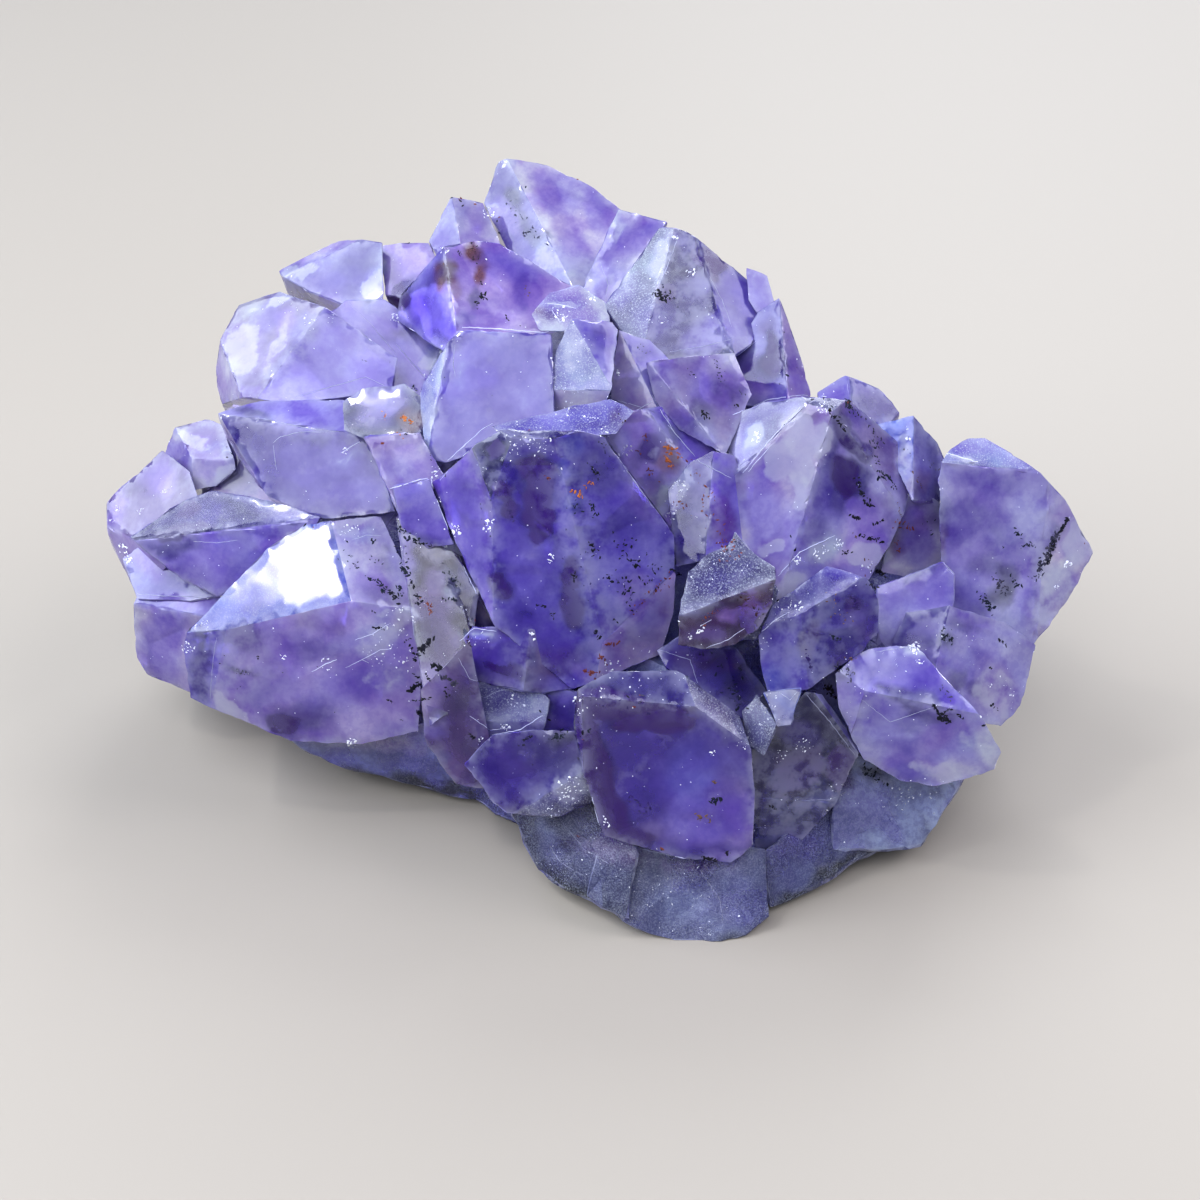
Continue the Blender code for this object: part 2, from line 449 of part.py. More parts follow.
def solid_from_planes(name, planes, floor=None):
    """The room behind the planes, as a bmesh object in metres."""
    bm = bmesh.new()
    bmesh.ops.create_cube(bm, size=0.4)
    if floor is not None:
        planes = planes + [(np.array([0, 0, -1.0]), -floor)]
    for n, d in planes:
        co = [float(v) * d * MM for v in n]
        res = bmesh.ops.bisect_plane(bm, geom=bm.verts[:] + bm.edges[:] + bm.faces[:],
                                     dist=1e-7, plane_co=co, plane_no=[float(v) for v in n],
                                     clear_outer=True)
        cut = [e for e in res["geom_cut"] if isinstance(e, bmesh.types.BMEdge)]
        if cut:
            bmesh.ops.contextual_create(bm, geom=cut)
    bmesh.ops.remove_doubles(bm, verts=bm.verts[:], dist=2e-6)
    bmesh.ops.recalc_face_normals(bm, faces=bm.faces[:])
    mesh = bpy.data.meshes.new(name)
    bm.to_mesh(mesh)
    bm.free()
    obj = bpy.data.objects.new(name, mesh)
    bpy.context.scene.collection.objects.link(obj)
    return obj


def main():
    for obj in list(bpy.data.objects):
        bpy.data.objects.remove(obj, do_unlink=True)
    made = []
    for name, (anchor, back, length, facets) in SEEN.items():
        planes, pos = crystal_planes(anchor, back, length, facets)
        made.append(solid_from_planes(name, planes, floor=2.0))
    for name, (anchor, back, length, facets) in BASE_SEEN.items():
        planes, pos = crystal_planes(anchor, back, length, facets)
        made.append(solid_from_planes(name, planes, floor=0.0 if name == "K2" else 0.8))
    for name, (tip, az, el, twist, girth, length, setback) in FAR.items():
        made.append(solid_from_planes(name, quartz_planes(tip, az, el, twist, girth, length, setback), floor=3.0))
    for name, rings in LUMPS:
        made.append(ring_solid(name, rings))
    for i, (centre, radii) in enumerate(CORE):
        made.append(ball_solid("core%d" % i, centre, radii))
    return made


def grow_together(pieces, name):
    """One solid of all the pieces, without the hollows shut in between them."""
    group = bpy.data.collections.new("crystals")
    bpy.context.scene.collection.children.link(group)
    for obj in pieces[1:]:
        group.objects.link(obj)
    mod = pieces[0].modifiers.new("union", 'BOOLEAN')
    mod.operation = 'UNION'
    mod.operand_type = 'COLLECTION'
    mod.collection = group
    mod.solver = 'EXACT'
    dep = bpy.context.evaluated_depsgraph_get()
    mesh = bpy.data.meshes.new_from_object(pieces[0].evaluated_get(dep))
    mesh.name = name
    bm = bmesh.new()
    bm.from_mesh(mesh)
    # keep the outer skin
    seen, shells = set(), []
    for face in bm.faces:
        if face in seen:
            continue
        stack, shell = [face], []
        seen.add(face)
        while stack:
            f = stack.pop()
            shell.append(f)
            for e in f.edges:
                for g in e.link_faces:
                    if g not in seen:
                        seen.add(g)
                        stack.append(g)
        shells.append(shell)
    shells.sort(key=lambda sh: -sum(f.calc_area() for f in sh))
    print("shells", [len(sh) for sh in shells[:8]])
    for shell in shells[1:]:
        bmesh.ops.delete(bm, geom=shell, context='FACES')
    bmesh.ops.delete(bm, geom=[v for v in bm.verts if not v.link_faces], context='VERTS')
    bmesh.ops.triangulate(bm, faces=bm.faces[:])
    for v in bm.verts:
        v.co -= Vector([c * MM for c in ORIGIN])
    bm.to_mesh(mesh)
    bm.free()
    for obj in pieces:
        bpy.data.objects.remove(obj, do_unlink=True)
    bpy.data.collections.remove(group)
    out = bpy.data.objects.new(name, mesh)
    bpy.context.scene.collection.objects.link(out)
    return out


def paint(obj):
    mat = bpy.data.materials.new("amethyst")
    mat.use_nodes = True
    shader = mat.node_tree.nodes["Principled BSDF"]
    shader.inputs["Base Color"].default_value = (0.33, 0.27, 0.68, 1.0)
    shader.inputs["Roughness"].default_value = 0.18
    shader.inputs["Metallic"].default_value = 0.0
    shader.inputs["IOR"].default_value = 1.544
    obj.data.materials.clear()
    obj.data.materials.append(mat)


def build():
    cluster = grow_together(main(), "amethyst_cluster")
    paint(cluster)
    return cluster


if __name__ == "__main__":
    build()
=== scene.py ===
"""Looks of the amethyst cluster: facets, colour zones, inclusions, light."""

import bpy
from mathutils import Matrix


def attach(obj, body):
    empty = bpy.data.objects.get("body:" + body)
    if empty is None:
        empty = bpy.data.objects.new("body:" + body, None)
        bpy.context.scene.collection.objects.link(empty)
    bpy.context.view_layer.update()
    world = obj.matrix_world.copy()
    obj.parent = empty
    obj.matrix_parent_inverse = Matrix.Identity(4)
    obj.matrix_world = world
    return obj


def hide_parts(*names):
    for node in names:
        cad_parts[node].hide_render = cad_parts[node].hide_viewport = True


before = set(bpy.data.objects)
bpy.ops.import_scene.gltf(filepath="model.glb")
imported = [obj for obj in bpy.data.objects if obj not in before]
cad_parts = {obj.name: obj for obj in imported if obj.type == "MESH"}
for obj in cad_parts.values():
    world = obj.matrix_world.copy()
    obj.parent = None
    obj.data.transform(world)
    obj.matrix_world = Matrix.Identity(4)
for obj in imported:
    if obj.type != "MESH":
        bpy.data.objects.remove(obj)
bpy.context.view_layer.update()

import bpy
import bmesh
import math
import random
import numpy as np
from mathutils import Vector, Matrix, noise
from mathutils.bvhtree import BVHTree

random.seed(7)
MM = 0.001

# ------------------------------------------------------------------ dimensions
EYE_DEPTH = 149.0               # viewpoint to the aim point, mm
AIM = (0.0, 0.0, 20.0)          # point on the sight axis, mm
EYE_PITCH = 34.0                # sight axis below the horizon, degrees
FOCAL = 1600.0                  # focal length in pixels of the 1200 px frame
FRAME = 1200.0
CAP_ANGLE = 38.2                # quartz cap face to the crystal's axis, degrees
ORIGIN = (-2.109, 12.918, 0.0)   # bottom centre of the finished solid, mm

P = math.radians(EYE_PITCH)
FWD = np.array([0.0, math.cos(P), -math.sin(P)])
RIGHT = np.array([1.0, 0.0, 0.0])
UP = np.array([0.0, math.sin(P), math.cos(P)])
EYE = np.array(AIM) - EYE_DEPTH * FWD


def sight(x, y):
    """Direction of the sight line through a pixel; its depth component is 1."""
    h = FRAME / 2
    return FWD + (x - h) / FOCAL * RIGHT + (h - y) / FOCAL * UP


def at_height(x, y, z):
    """The point on a sight line at a height, mm."""
    d = sight(x, y)
    return EYE + d * ((z - EYE[2]) / d[2])


def facing(az, el):
    """Unit normal from azimuth (0 = towards the viewer, + right) and elevation."""
    a, e = math.radians(az), math.radians(el)
    return np.array([math.sin(a) * math.cos(e), -math.cos(a) * math.cos(e), math.sin(e)])


# --------------------------------------------------------- crystals as sighted
# name: (corner that fixes the depth: x, y, height mm), back slope, length mm,
#       facets [(azimuth, elevation, corners)]
SEEN = {
    # far top
    "T1": ((506, 158, 47.5), (36, -24), 40, [
        (22, 50, [(506, 158), (544, 164), (591, 186), (623, 211), (600, 262), (578, 296), (550, 239)]),
        (-40, 42, [(498, 162), (506, 158), (550, 239), (578, 296), (520, 275), (484, 203)])]),
    "T2": ((450, 197, 45.0), (38, -20), 36, [
        (-50, 40, [(450, 197), (429, 241), (440, 262), (463, 262), (461, 231)]),
        (25, 42, [(450, 197), (483, 203), (505, 250), (463, 262), (461, 231)])]),
    "T3": ((400, 243, 42.0), (36, -20), 34, [
        (-20, 55, [(380, 245), (400, 243), (429, 242), (440, 262), (410, 300), (385, 295)])]),
    "T4": ((473, 241, 45.0), 30, 26, [
        (8, 42, [(443, 247), (473, 241), (499, 242), (576, 288), (556, 333), (457, 333)]),
        (-55, 30, [(430, 261), (443, 247), (457, 333), (440, 350), (395, 320), (400, 296)])]),
    "T5": ((457, 329, 42.5), 18, 28, [
        (-4, 33, [(457, 329), (552, 333), (556, 425), (491, 430), (447, 464), (427, 460), (432, 400), (449, 345)]),
        (-62, 33, [(449, 345), (432, 400), (427, 460), (418, 400), (420, 387)])]),
    "T6": ((570, 318, 43.5), 15, 24, [
        (-28, 45, [(570, 318), (610, 375), (611, 391), (556, 390), (552, 360)]),
        (38, 45, [(570, 318), (613, 322), (619, 330), (611, 391), (610, 375)]),
        (-12, 5, [(556, 390), (611, 391), (600, 416), (557, 420)])]),
    "T6b": ((560, 303, 43.0), 15, 18, [
        (5, 55, [(530, 315), (548, 292), (580, 284), (606, 302), (612, 322), (570, 332), (540, 332)])]),
    "T7": ((619, 330, 41.5), 12, 24, [
        (-22, 35, [(619, 330), (651, 393), (633, 411), (611, 399), (611, 374)]),
        (35, 42, [(619, 330), (650, 340), (705, 395), (683, 420), (651, 393)])]),
    "T8": ((672, 358, 40.0), 12, 24, [
        (20, 42, [(645, 362), (672, 358), (735, 352), (752, 395), (726, 455), (710, 439), (683, 399)]),
        (-25, 22, [(645, 362), (683, 399), (710, 439), (679, 430), (655, 401)])]),
    "T9": ((679, 233, 46.0), (34, -12), 40, [
        (-48, 42, [(645, 251), (663, 221), (679, 233), (663, 277), (647, 306), (645, 362), (621, 332), (603, 306)]),
        (12, 58, [(679, 233), (690, 231), (706, 270), (663, 277)]),
        (-4, 28, [(663, 277), (706, 270), (732, 330), (730, 360), (645, 362), (647, 306)]),
        (46, 40, [(690, 231), (744, 263), (770, 300), (752, 345), (730, 360), (732, 330), (706, 270)])]),
    "T10": ((762, 272, 42.0), (34, -15), 30, [
        (35, 40, [(746, 267), (768, 275), (775, 302), (768, 330), (748, 300)])]),
    "T11": ((779, 297, 41.0), (32, -12), 36, [
        (-35, 35, [(779, 297), (787, 370), (788, 410), (738, 405), (730, 352), (746, 335), (758, 312)]),
        (52, 30, [(779, 297), (791, 326), (805, 378), (812, 396), (788, 410), (787, 370)])]),
    # left
    "L1": ((347, 246, 42.0), (38, -20), 38, [
        (-12, 50, [(282, 277), (347, 246), (383, 242), (384, 302), (345, 306), (309, 292)]),
        (-62, 62, [(278, 270), (339, 240), (347, 246), (282, 277)])]),
    "L2": ((323, 317, 38.5), (30, -14), 38, [
        (-34, 52, [(219, 342), (236, 305), (280, 291), (323, 317), (303, 323), (268, 386), (242, 396)]),
        (14, 38, [(303, 323), (323, 317), (398, 358), (392, 392), (288, 404), (268, 386)]),
        (-78, 22, [(219, 342), (242, 396), (222, 404), (216, 386), (216, 354)])]),
    "L3": ((217, 413, 33.0), 20, 34, [
        (-8, 72, [(217, 413), (260, 400), (349, 400), (362, 420), (343, 432), (317, 429), (258, 418)]),
        (2, 30, [(217, 413), (258, 418), (317, 429), (343, 432), (365, 439), (396, 512), (319, 520), (268, 497)]),
        (-62, 5, [(217, 413), (268, 497), (240, 462), (222, 430)])]),
    "L3b": ((362, 398, 36.0), 12, 20, [
        (-15, 48, [(342, 402), (362, 388), (405, 384), (428, 402), (420, 440), (365, 440), (343, 430)])]),
    "L4": ((209, 419, 29.5), (30, -12), 34, [
        (-25, 62, [(175, 427), (209, 419), (222, 424), (234, 458), (187, 454)]),
        (-12, 22, [(187, 454), (234, 458), (236, 470), (216, 486), (195, 489)]),
        (-62, 28, [(175, 427), (187, 454), (195, 489), (168, 498), (158, 470)])]),
    "L4b": ((141, 491, 24.0), (30, -6), 34, [
        (-30, 45, [(163, 449), (190, 470), (200, 500), (140, 540), (106, 528), (106, 503), (112, 495), (141, 491)]),
        (-55, 5, [(106, 528), (140, 540), (165, 570), (137, 593), (126, 564), (110, 544)])]),
    "L5": ((127, 537, 24.0), (20, 0), 40, [
        (-14, 60, [(127, 537), (185, 499), (213, 489), (285, 503), (290, 516), (216, 542)]),
        (-12, 12, [(127, 537), (216, 542), (290, 516), (322, 516), (300, 560), (218, 597), (183, 580)])]),
    "L6": ((187, 632, 20.5), 20, 44, [
        (-26, 60, [(187, 632), (268, 548), (303, 525), (330, 530), (353, 601), (217, 632)]),
        (-76, 0, [(187, 632), (217, 632), (213, 698), (190, 698), (183, 650)]),
        (-4, 10, [(217, 632), (353, 601), (425, 611), (432, 660), (429, 729), (362, 745), (290, 741), (241, 716), (213, 698)]),
        (24, 52, [(330, 530), (395, 515), (412, 560), (425, 611), (353, 601)])]),
    "L7": ((137, 605, 16.0), 25, 30, [
        (-20, 58, [(137, 594), (165, 584), (220, 592), (205, 618), (187, 611), (137, 605)]),
        (-16, 2, [(137, 605), (187, 611), (205, 618), (195, 650), (192, 694), (147, 675), (136, 657), (134, 635)])]),
    # centre
    "C1": ((552, 436, 38.5), 10, 44, [
        (-46, 22, [(430, 479), (475, 445), (489, 503), (495, 627), (477, 586), (455, 542)]),
        (-34, 38, [(475, 445), (497, 429), (512, 441), (505, 470), (489, 503)]),
        (0, 68, [(497, 429), (588, 431), (552, 436), (512, 441)]),
        (-10, 18, [(512, 441), (552, 436), (578, 548), (600, 625), (606, 668), (572, 690), (495, 627), (489, 503), (505, 470)]),
        (34, 20, [(552, 436), (588, 431), (605, 437), (623, 465), (661, 516), (674, 535), (676, 568), (600, 625), (578, 548)]),
        (22, -8, [(600, 625), (676, 568), (674, 613), (661, 655), (613, 667), (606, 668)])]),
    "C2": ((430, 478, 33.0), 12, 20, [
        (-14, 24, [(392, 486), (430, 478), (455, 545), (427, 550), (400, 528)])]),
    "C3": ((453, 550, 27.0), 10, 20, [
        (4, 35, [(398, 528), (425, 548), (453, 550), (480, 588), (476, 628), (429, 620), (406, 580)])]),
    "C3b": ((430, 615, 22.5), 10, 20, [
        (8, 40, [(395, 515), (430, 540), (462, 600), (474, 640), (466, 700), (429, 729), (420, 640)])]),
    "C4": ((531, 641, 21.5), 12, 18, [
        (-18, 22, [(460, 640), (473, 626), (497, 630), (531, 641), (521, 682), (487, 684), (469, 680), (458, 655)]),
        (22, 26, [(531, 641), (602, 640), (610, 663), (574, 690), (541, 694), (521, 682)])]),
    "C5": ((519, 677, 18.0), 12, 18, [
        (-4, 42, [(456, 706), (473, 683), (519, 677), (551, 700), (549, 712), (525, 730), (491, 736), (462, 720)]),
        (-2, -5, [(456, 706), (462, 720), (491, 736), (525, 730), (549, 712), (545, 735), (495, 755), (462, 740)])]),
    "C6": ((491, 734, 15.5), 18, 24, [
        (-22, 22, [(463, 764), (491, 734), (541, 728), (580, 730), (582, 776), (529, 808), (505, 814), (490, 800)]),
        (20, 10, [(529, 808), (582, 776), (596, 800), (560, 818), (505, 814)])]),
    "C7": ((640, 408, 36.5), 8, 20, [
        (-14, 26, [(605, 437), (618, 412), (640, 408), (668, 425), (690, 470), (688, 520), (674, 535), (661, 516), (623, 465)]),
        (30, 35, [(640, 408), (672, 405), (712, 438), (726, 470), (690, 470), (668, 425)])]),
    "C8": ((712, 450, 34.0), 8, 22, [
        (-20, 34, [(668, 490), (690, 462), (712, 450), (716, 520), (700, 556), (676, 568), (672, 532)]),
        (22, 30, [(712, 450), (735, 455), (748, 500), (742, 545), (716, 556), (700, 556), (716, 520)])]),
    # between the others
    "N1": ((381, 300, 38.5), 10, 20, [
        (10, 36, [(323, 317), (345, 300), (384, 298), (410, 318), (445, 348), (434, 392), (425, 402), (365, 405), (398, 358)])]),
    "N2": ((420, 432, 35.5), 8, 18, [
        (12, 34, [(362, 436), (420, 432), (436, 462), (448, 480), (394, 492), (398, 515)])]),
    "N3": ((645, 222, 45.0), (34, -22), 38, [
        (-18, 46, [(618, 208), (645, 220), (668, 222), (650, 251), (606, 306), (585, 310), (578, 296)])]),
    "N4": ((556, 412, 39.0), 10, 18, [
        (-4, 58, [(491, 426), (556, 412), (611, 398), (634, 411), (616, 434), (588, 434), (552, 438), (497, 432)])]),
    "N5": ((222, 424, 29.5), 12, 20, [
        (-4, 42, [(222, 424), (245, 448), (270, 495), (290, 508), (222, 504), (205, 484)])]),
    "N6": ((440, 700, 17.0), 12, 20, [
        (-6, 6, [(420, 690), (470, 640), (472, 706), (500, 790), (455, 785), (425, 740)])]),
    "N7": ((770, 600, 25.5), 8, 20, [
        (-10, 30, [(735, 530), (780, 590), (775, 612), (757, 640), (730, 640), (700, 600)])]),
    "N8": ((165, 566, 19.0), 18, 24, [
        (-14, 48, [(122, 558), (140, 545), (185, 575), (222, 597), (190, 602), (136, 600)])]),
    "N9": ((560, 692, 16.5), 8, 16, [
        (-4, 20, [(528, 690), (560, 688), (584, 692), (586, 760), (552, 745), (530, 730)])]),
    "N10": ((478, 590, 22.5), 8, 16, [
        (-10, 22, [(452, 550), (470, 560), (492, 600), (505, 640), (470, 648), (456, 610)])]),
    # front
    "F1": ((577, 690, 22.0), 14, 34, [
        (4, 68, [(577, 690), (612, 671), (677, 670), (693, 690), (699, 709), (673, 701), (586, 698)]),
        (60, 42, [(677, 670), (740, 715), (751, 747), (699, 709), (693, 690)]),
        (3, 14, [(586, 698), (673, 701), (699, 709), (751, 747), (755, 796), (753, 846), (731, 863), (681, 859), (646, 848), (604, 836), (590, 794), (583, 770)]),
        (-60, 5, [(577, 690), (586, 698), (583, 770), (573, 723)])]),
    # right
    "R1": ((832, 408, 38.0), 15, 40, [
        (-48, 46, [(732, 415), (767, 401), (802, 397), (808, 405), (743, 474), (728, 478), (728, 451)]),
        (-22, 24, [(808, 405), (832, 408), (806, 534), (775, 602), (735, 530), (728, 478), (743, 474)]),
        (24, 20, [(832, 408), (844, 425), (871, 470), (901, 508), (889, 546), (870, 580), (828, 572), (775, 602), (806, 534)]),
        (60, 32, [(832, 408), (850, 399), (897, 441), (912, 468), (906, 508), (901, 508), (871, 470), (844, 425)]),
        (0, 75, [(802, 397), (850, 399), (832, 408), (808, 405)])]),
    "R2": ((913, 415, 35.0), (30, -16), 32, [
        (-26, 42, [(875, 424), (913, 415), (916, 462), (912, 500), (897, 445)]),
        (50, 30, [(913, 415), (937, 443), (946, 462), (940, 505), (912, 500), (916, 462)])]),
    "R3": ((845, 374, 37.0), (34, -20), 34, [
        (-25, 48, [(816, 392), (845, 374), (858, 398), (852, 425), (826, 420)]),
        (35, 48, [(845, 374), (880, 388), (901, 412), (885, 430), (852, 425), (858, 398)])]),
    "R4": ((916, 493, 29.0), 12, 22, [
        (8, 18, [(901, 500), (916, 490), (938, 500), (952, 518), (950, 545), (943, 563), (916, 585), (876, 586), (885, 549)])]),
    "R5": ((1032, 474, 32.0), (34, 12), 32, [
        (-3, 26, [(938, 480), (949, 462), (999, 464), (1032, 474), (1070, 514), (1052, 560), (1044, 600), (1024, 659), (945, 622), (940, 560)]),
        (2, 64, [(949, 462), (949, 448), (968, 437), (986, 437), (1012, 453), (1032, 474), (999, 464)]),
        (52, 8, [(1032, 474), (1066, 500), (1084, 535), (1094, 552), (1079, 575), (1070, 598), (1024, 659), (1044, 600), (1052, 560), (1070, 514)])]),
    "R6": ((943, 561, 25.5), 10, 22, [
        (-10, 32, [(876, 586), (908, 579), (943, 561), (955, 575), (955, 610), (908, 616), (891, 650), (876, 652)])]),
    "R7": ((949, 605, 23.5), 14, 26, [
        (-24, 42, [(888, 650), (906, 612), (949, 605), (939, 660), (917, 650)]),
        (24, 20, [(949, 605), (975, 616), (1005, 622), (1036, 645), (1019, 672), (1016, 684), (1021, 707), (1001, 727), (960, 718), (939, 690), (939, 660)])]),
    "R8": ((870, 690, 20.5), 16, 30, [
        (2, 44, [(835, 674), (862, 651), (890, 646), (920, 645), (938, 658), (941, 690), (931, 707), (870, 690)]),
        (-40, 10, [(835, 674), (870, 690), (850, 735), (838, 710)]),
        (6, 6, [(870, 690), (931, 707), (985, 722), (1003, 747), (995, 770), (967, 778), (935, 786), (900, 781), (862, 759), (850, 735)])]),
    "M1": ((795, 611, 26.5), 12, 30, [
        (-24, 58, [(757, 637), (773, 605), (827, 565), (868, 578), (807, 611), (795, 611)]),
        (-30, 12, [(757, 637), (795, 611), (812, 640), (813, 676), (807, 690), (767, 692), (760, 662)]),
        (32, 16, [(795, 611), (807, 611), (868, 578), (879, 599), (879, 631), (864, 650), (823, 676), (813, 676), (812, 640)])]),
    "M2": ((775, 568, 30.5), 12, 26, [
        (-12, 62, [(688, 571), (709, 552), (739, 540), (775, 568), (771, 580), (725, 599), (686, 614)]),
        (4, 6, [(686, 614), (725, 599), (771, 580), (773, 605), (757, 630), (735, 645), (708, 650), (678, 645)])]),
    # M3 fills the dark cavity under M2: dark violet colour, partly painted shade where the cavity lies in shade
    "M3": ((700, 645, 20.0), 10, 18, [
        (10, 40, [(655, 650), (680, 635), (735, 645), (768, 690), (745, 722), (700, 690), (665, 668)])]),
    "M4": ((803, 688, 21.0), 12, 18, [
        (-10, 52, [(763, 692), (803, 686), (792, 726), (776, 728)])]),
    "M5": ((757, 694, 19.5), 12, 18, [
        (-34, 38, [(741, 712), (757, 692), (778, 724), (765, 757), (745, 745)])]),
    "M6": ((803, 690, 20.5), 14, 28, [
        (2, 10, [(803, 690), (858, 757), (846, 793), (826, 800), (780, 808), (751, 790), (751, 749), (789, 722)]),
        (58, 25, [(803, 690), (822, 694), (860, 748), (858, 757)]),
        (4, 12, [(751, 790), (780, 808), (826, 800), (808, 835), (780, 862), (755, 856)])]),
}


# the far wall behind the seen crystals: azimuth, distance from the origin at a
# height, mm; it leans in towards the base by WALL_LEAN degrees
WALL = [(180, 52, 45), (-150, 49, 45), (-110, 54, 25), (150, 40, 45), (120, 45, 30)]
WALL_LEAN = 12.0


def crystal_planes(anchor, back, length, facets):
    """Planes (normal, offset) of one sighted crystal, mm: its facets, its
    outline and its root."""
    x0, y0, z0 = anchor
    inv0 = 1.0 / np.dot(at_height(x0, y0, z0) - EYE, FWD)
    h = FRAME / 2
    uv = lambda p: ((p[0] - h) / FOCAL, (h - p[1]) / FOCAL)
    # unknown: 1/depth = a u + b v + c on each facet
    nf = len(facets)
    rows, rhs = [], []

    def row(parts, value, weight):
        r = np.zeros(3 * nf)
        for f, k, c in parts:
            r[3 * f + k] += c
        rows.append(r * weight)
        rhs.append(value * weight)

    corners = {}
    for f, (az, el, pts) in enumerate(facets):
        for p in pts:
            corners.setdefault(p, []).append(f)
    scale = 1.0 / inv0
    for p, fs in corners.items():
        u, v = uv(p)
        for g in fs[1:]:
            f = fs[0]
            row([(f, 0, u), (f, 1, v), (f, 2, 1), (g, 0, -u), (g, 1, -v), (g, 2, -1)], 0, 60 * scale)
    # the anchor lies on the facet(s) whose corner it is, or is nearest to
    near = min(corners, key=lambda p: (p[0] - x0) ** 2 + (p[1] - y0) ** 2)
    u, v = uv((x0, y0))
    for f in corners[near]:
        row([(f, 0, u), (f, 1, v), (f, 2, 1)], inv0, 60 * scale)
    for f, (az, el, pts) in enumerate(facets):
        n = facing(az, el)
        nr, nu, nd = n @ RIGHT, n @ UP, n @ FWD
        row([(f, 0, nd), (f, 2, -nr)], 0, scale)
        row([(f, 1, nd), (f, 2, -nu)], 0, scale)
    sol = np.linalg.lstsq(np.array(rows), np.array(rhs), rcond=None)[0].reshape(nf, 3)
    planes = []
    for a, b, c in sol:
        n = a * RIGHT + b * UP + c * FWD
        k = np.linalg.norm(n)
        # n.(P - EYE) = 1 ; outward normal is -n/k
        planes.append((-n / k, float((-n / k) @ EYE - 1.0 / k)))
    pos = {}
    for p, fs in corners.items():
        u, v = uv(p)
        inv = np.mean([sol[f] @ (u, v, 1.0) for f in fs])
        pos[p] = EYE + sight(*p) / inv
    # outline: convex hull of the drawn corners
    hull = outline(list(corners))
    mid = np.mean([pos[p] for p in hull], axis=0)
    for i, p in enumerate(hull):
        q = hull[(i + 1) % len(hull)]
        a, b = pos[p], pos[q]
        e = (b - a) / np.linalg.norm(b - a)
        ray = (a + b) / 2 - EYE
        m = np.cross(e, ray)
        m /= np.linalg.norm(m)
        if m @ (mid - a) > 0:
            m = -m
        k = np.cross(e, m)
        if k @ ray < 0:
            k = -k
        # the back slope of an edge that looks up, and of one that looks down
        up = float(m @ UP)
        t = math.radians(back[0] * (0.5 + 0.5 * up) + back[1] * (0.5 - 0.5 * up)) \
            if isinstance(back, tuple) else math.radians(back)
        n = math.cos(t) * m + math.sin(t) * k
        planes.append((n, float(n @ a)))
    # root: across the line of sight, at the crystal's length behind its front
    ray = mid - EYE
    ray /= np.linalg.norm(ray)
    front = min(float(ray @ v) for v in pos.values())
    planes.append((ray, front + length))
    for az, dist, z in WALL:
        n = facing(az, -WALL_LEAN)
        planes.append((n, dist * math.cos(math.radians(WALL_LEAN)) - z * math.sin(math.radians(WALL_LEAN))))
    return planes, pos


def outline(points):
    """Convex hull of points in the plane, in order."""
    pts = sorted(set(points))

    def half(seq):
        out = []
        for p in seq:
            while len(out) > 1 and (out[-1][0] - out[-2][0]) * (p[1] - out[-2][1]) \
                    - (out[-1][1] - out[-2][1]) * (p[0] - out[-2][0]) <= 1e-9:
                out.pop()
            out.append(p)
        return out[:-1]
    return half(pts) + half(pts[::-1])


# ------------------------------------------------------ crystals as ideal quartz
# name: tip x, y, z mm, azimuth it points to, elevation, twist, girth, length,
#       set-back of its six cap faces (mm)
FAR = {
    "B1": ((-29, 43, 30), -150, 36, 10, 16, 32, (0, 3, 1, 4, 0, 2)),
    "B2": ((-13, 52, 33), -168, 40, 25, 17, 34, (0, 2, 4, 0, 3, 1)),
    "B3": ((10, 50, 31), 170, 38, 5, 16, 34, (1, 0, 3, 1, 0, 4)),
    "B4": ((20, 36, 28), 150, 34, 40, 15, 30, (0, 2, 0, 4, 1, 3)),
    "B5": ((33, 25, 21), 128, 28, 20, 15, 28, (0, 3, 1, 0, 4, 1)),
    "B6": ((-41, 27, 23), -122, 24, 30, 15, 28, (0, 1, 4, 0, 2, 3)),
    "B7": ((-21, 50, 18), -160, 10, 15, 15, 32, (2, 0, 3, 0, 4, 1)),
    "B8": ((-2, 54, 19), 178, 12, 45, 17, 34, (0, 3, 0, 2, 0, 4)),
    "B9": ((18, 47, 16), 156, 12, 10, 15, 30, (1, 0, 4, 0, 2, 2)),
    "B10": ((31, 33, 12), 138, 6, 35, 14, 28, (0, 2, 1, 4, 0, 3)),
    "B11": ((-38, 39, 14), -140, 6, 5, 14, 30, (0, 4, 0, 2, 1, 3)),
    "B12": ((41, 15, 14), 104, 8, 20, 12, 26, (0, 2, 3, 0, 4, 0)),
    "B13": ((-44, 13, 12), -98, 4, 40, 12, 28, (2, 0, 1, 4, 0, 3)),
    "B14": ((-2, 46, 40), 180, 58, 12, 14, 30, (0, 2, 0, 3, 1, 4)),
    "B15": ((-32, 33, 35), -140, 52, 22, 13, 28, (0, 1, 3, 0, 4, 2)),
    "B16": ((29, 20, 29), 130, 50, 8, 12, 26, (0, 3, 0, 1, 4, 2)),
    "B17": ((-11, 49, 10), -170, -6, 30, 13, 28, (0, 2, 4, 0, 1, 3)),
    "B18": ((9, 47, 9), 168, -6, 12, 13, 28, (0, 3, 0, 4, 2, 0)),
    "B19": ((17, 31, 37), 150, 55, 30, 12, 26, (0, 2, 0, 3, 1, 4)),
    "B20": ((38, 12, 25), 115, 40, 15, 11, 24, (0, 1, 3, 0, 2, 4)),
    "B22": ((-16, 42, 41), -170, 70, 10, 12, 30, (0, 2, 1, 0, 3, 1)),
    "B21": ((-42, 22, 30), -120, 42, 12, 10, 24, (0, 3, 1, 0, 2, 4)),
}


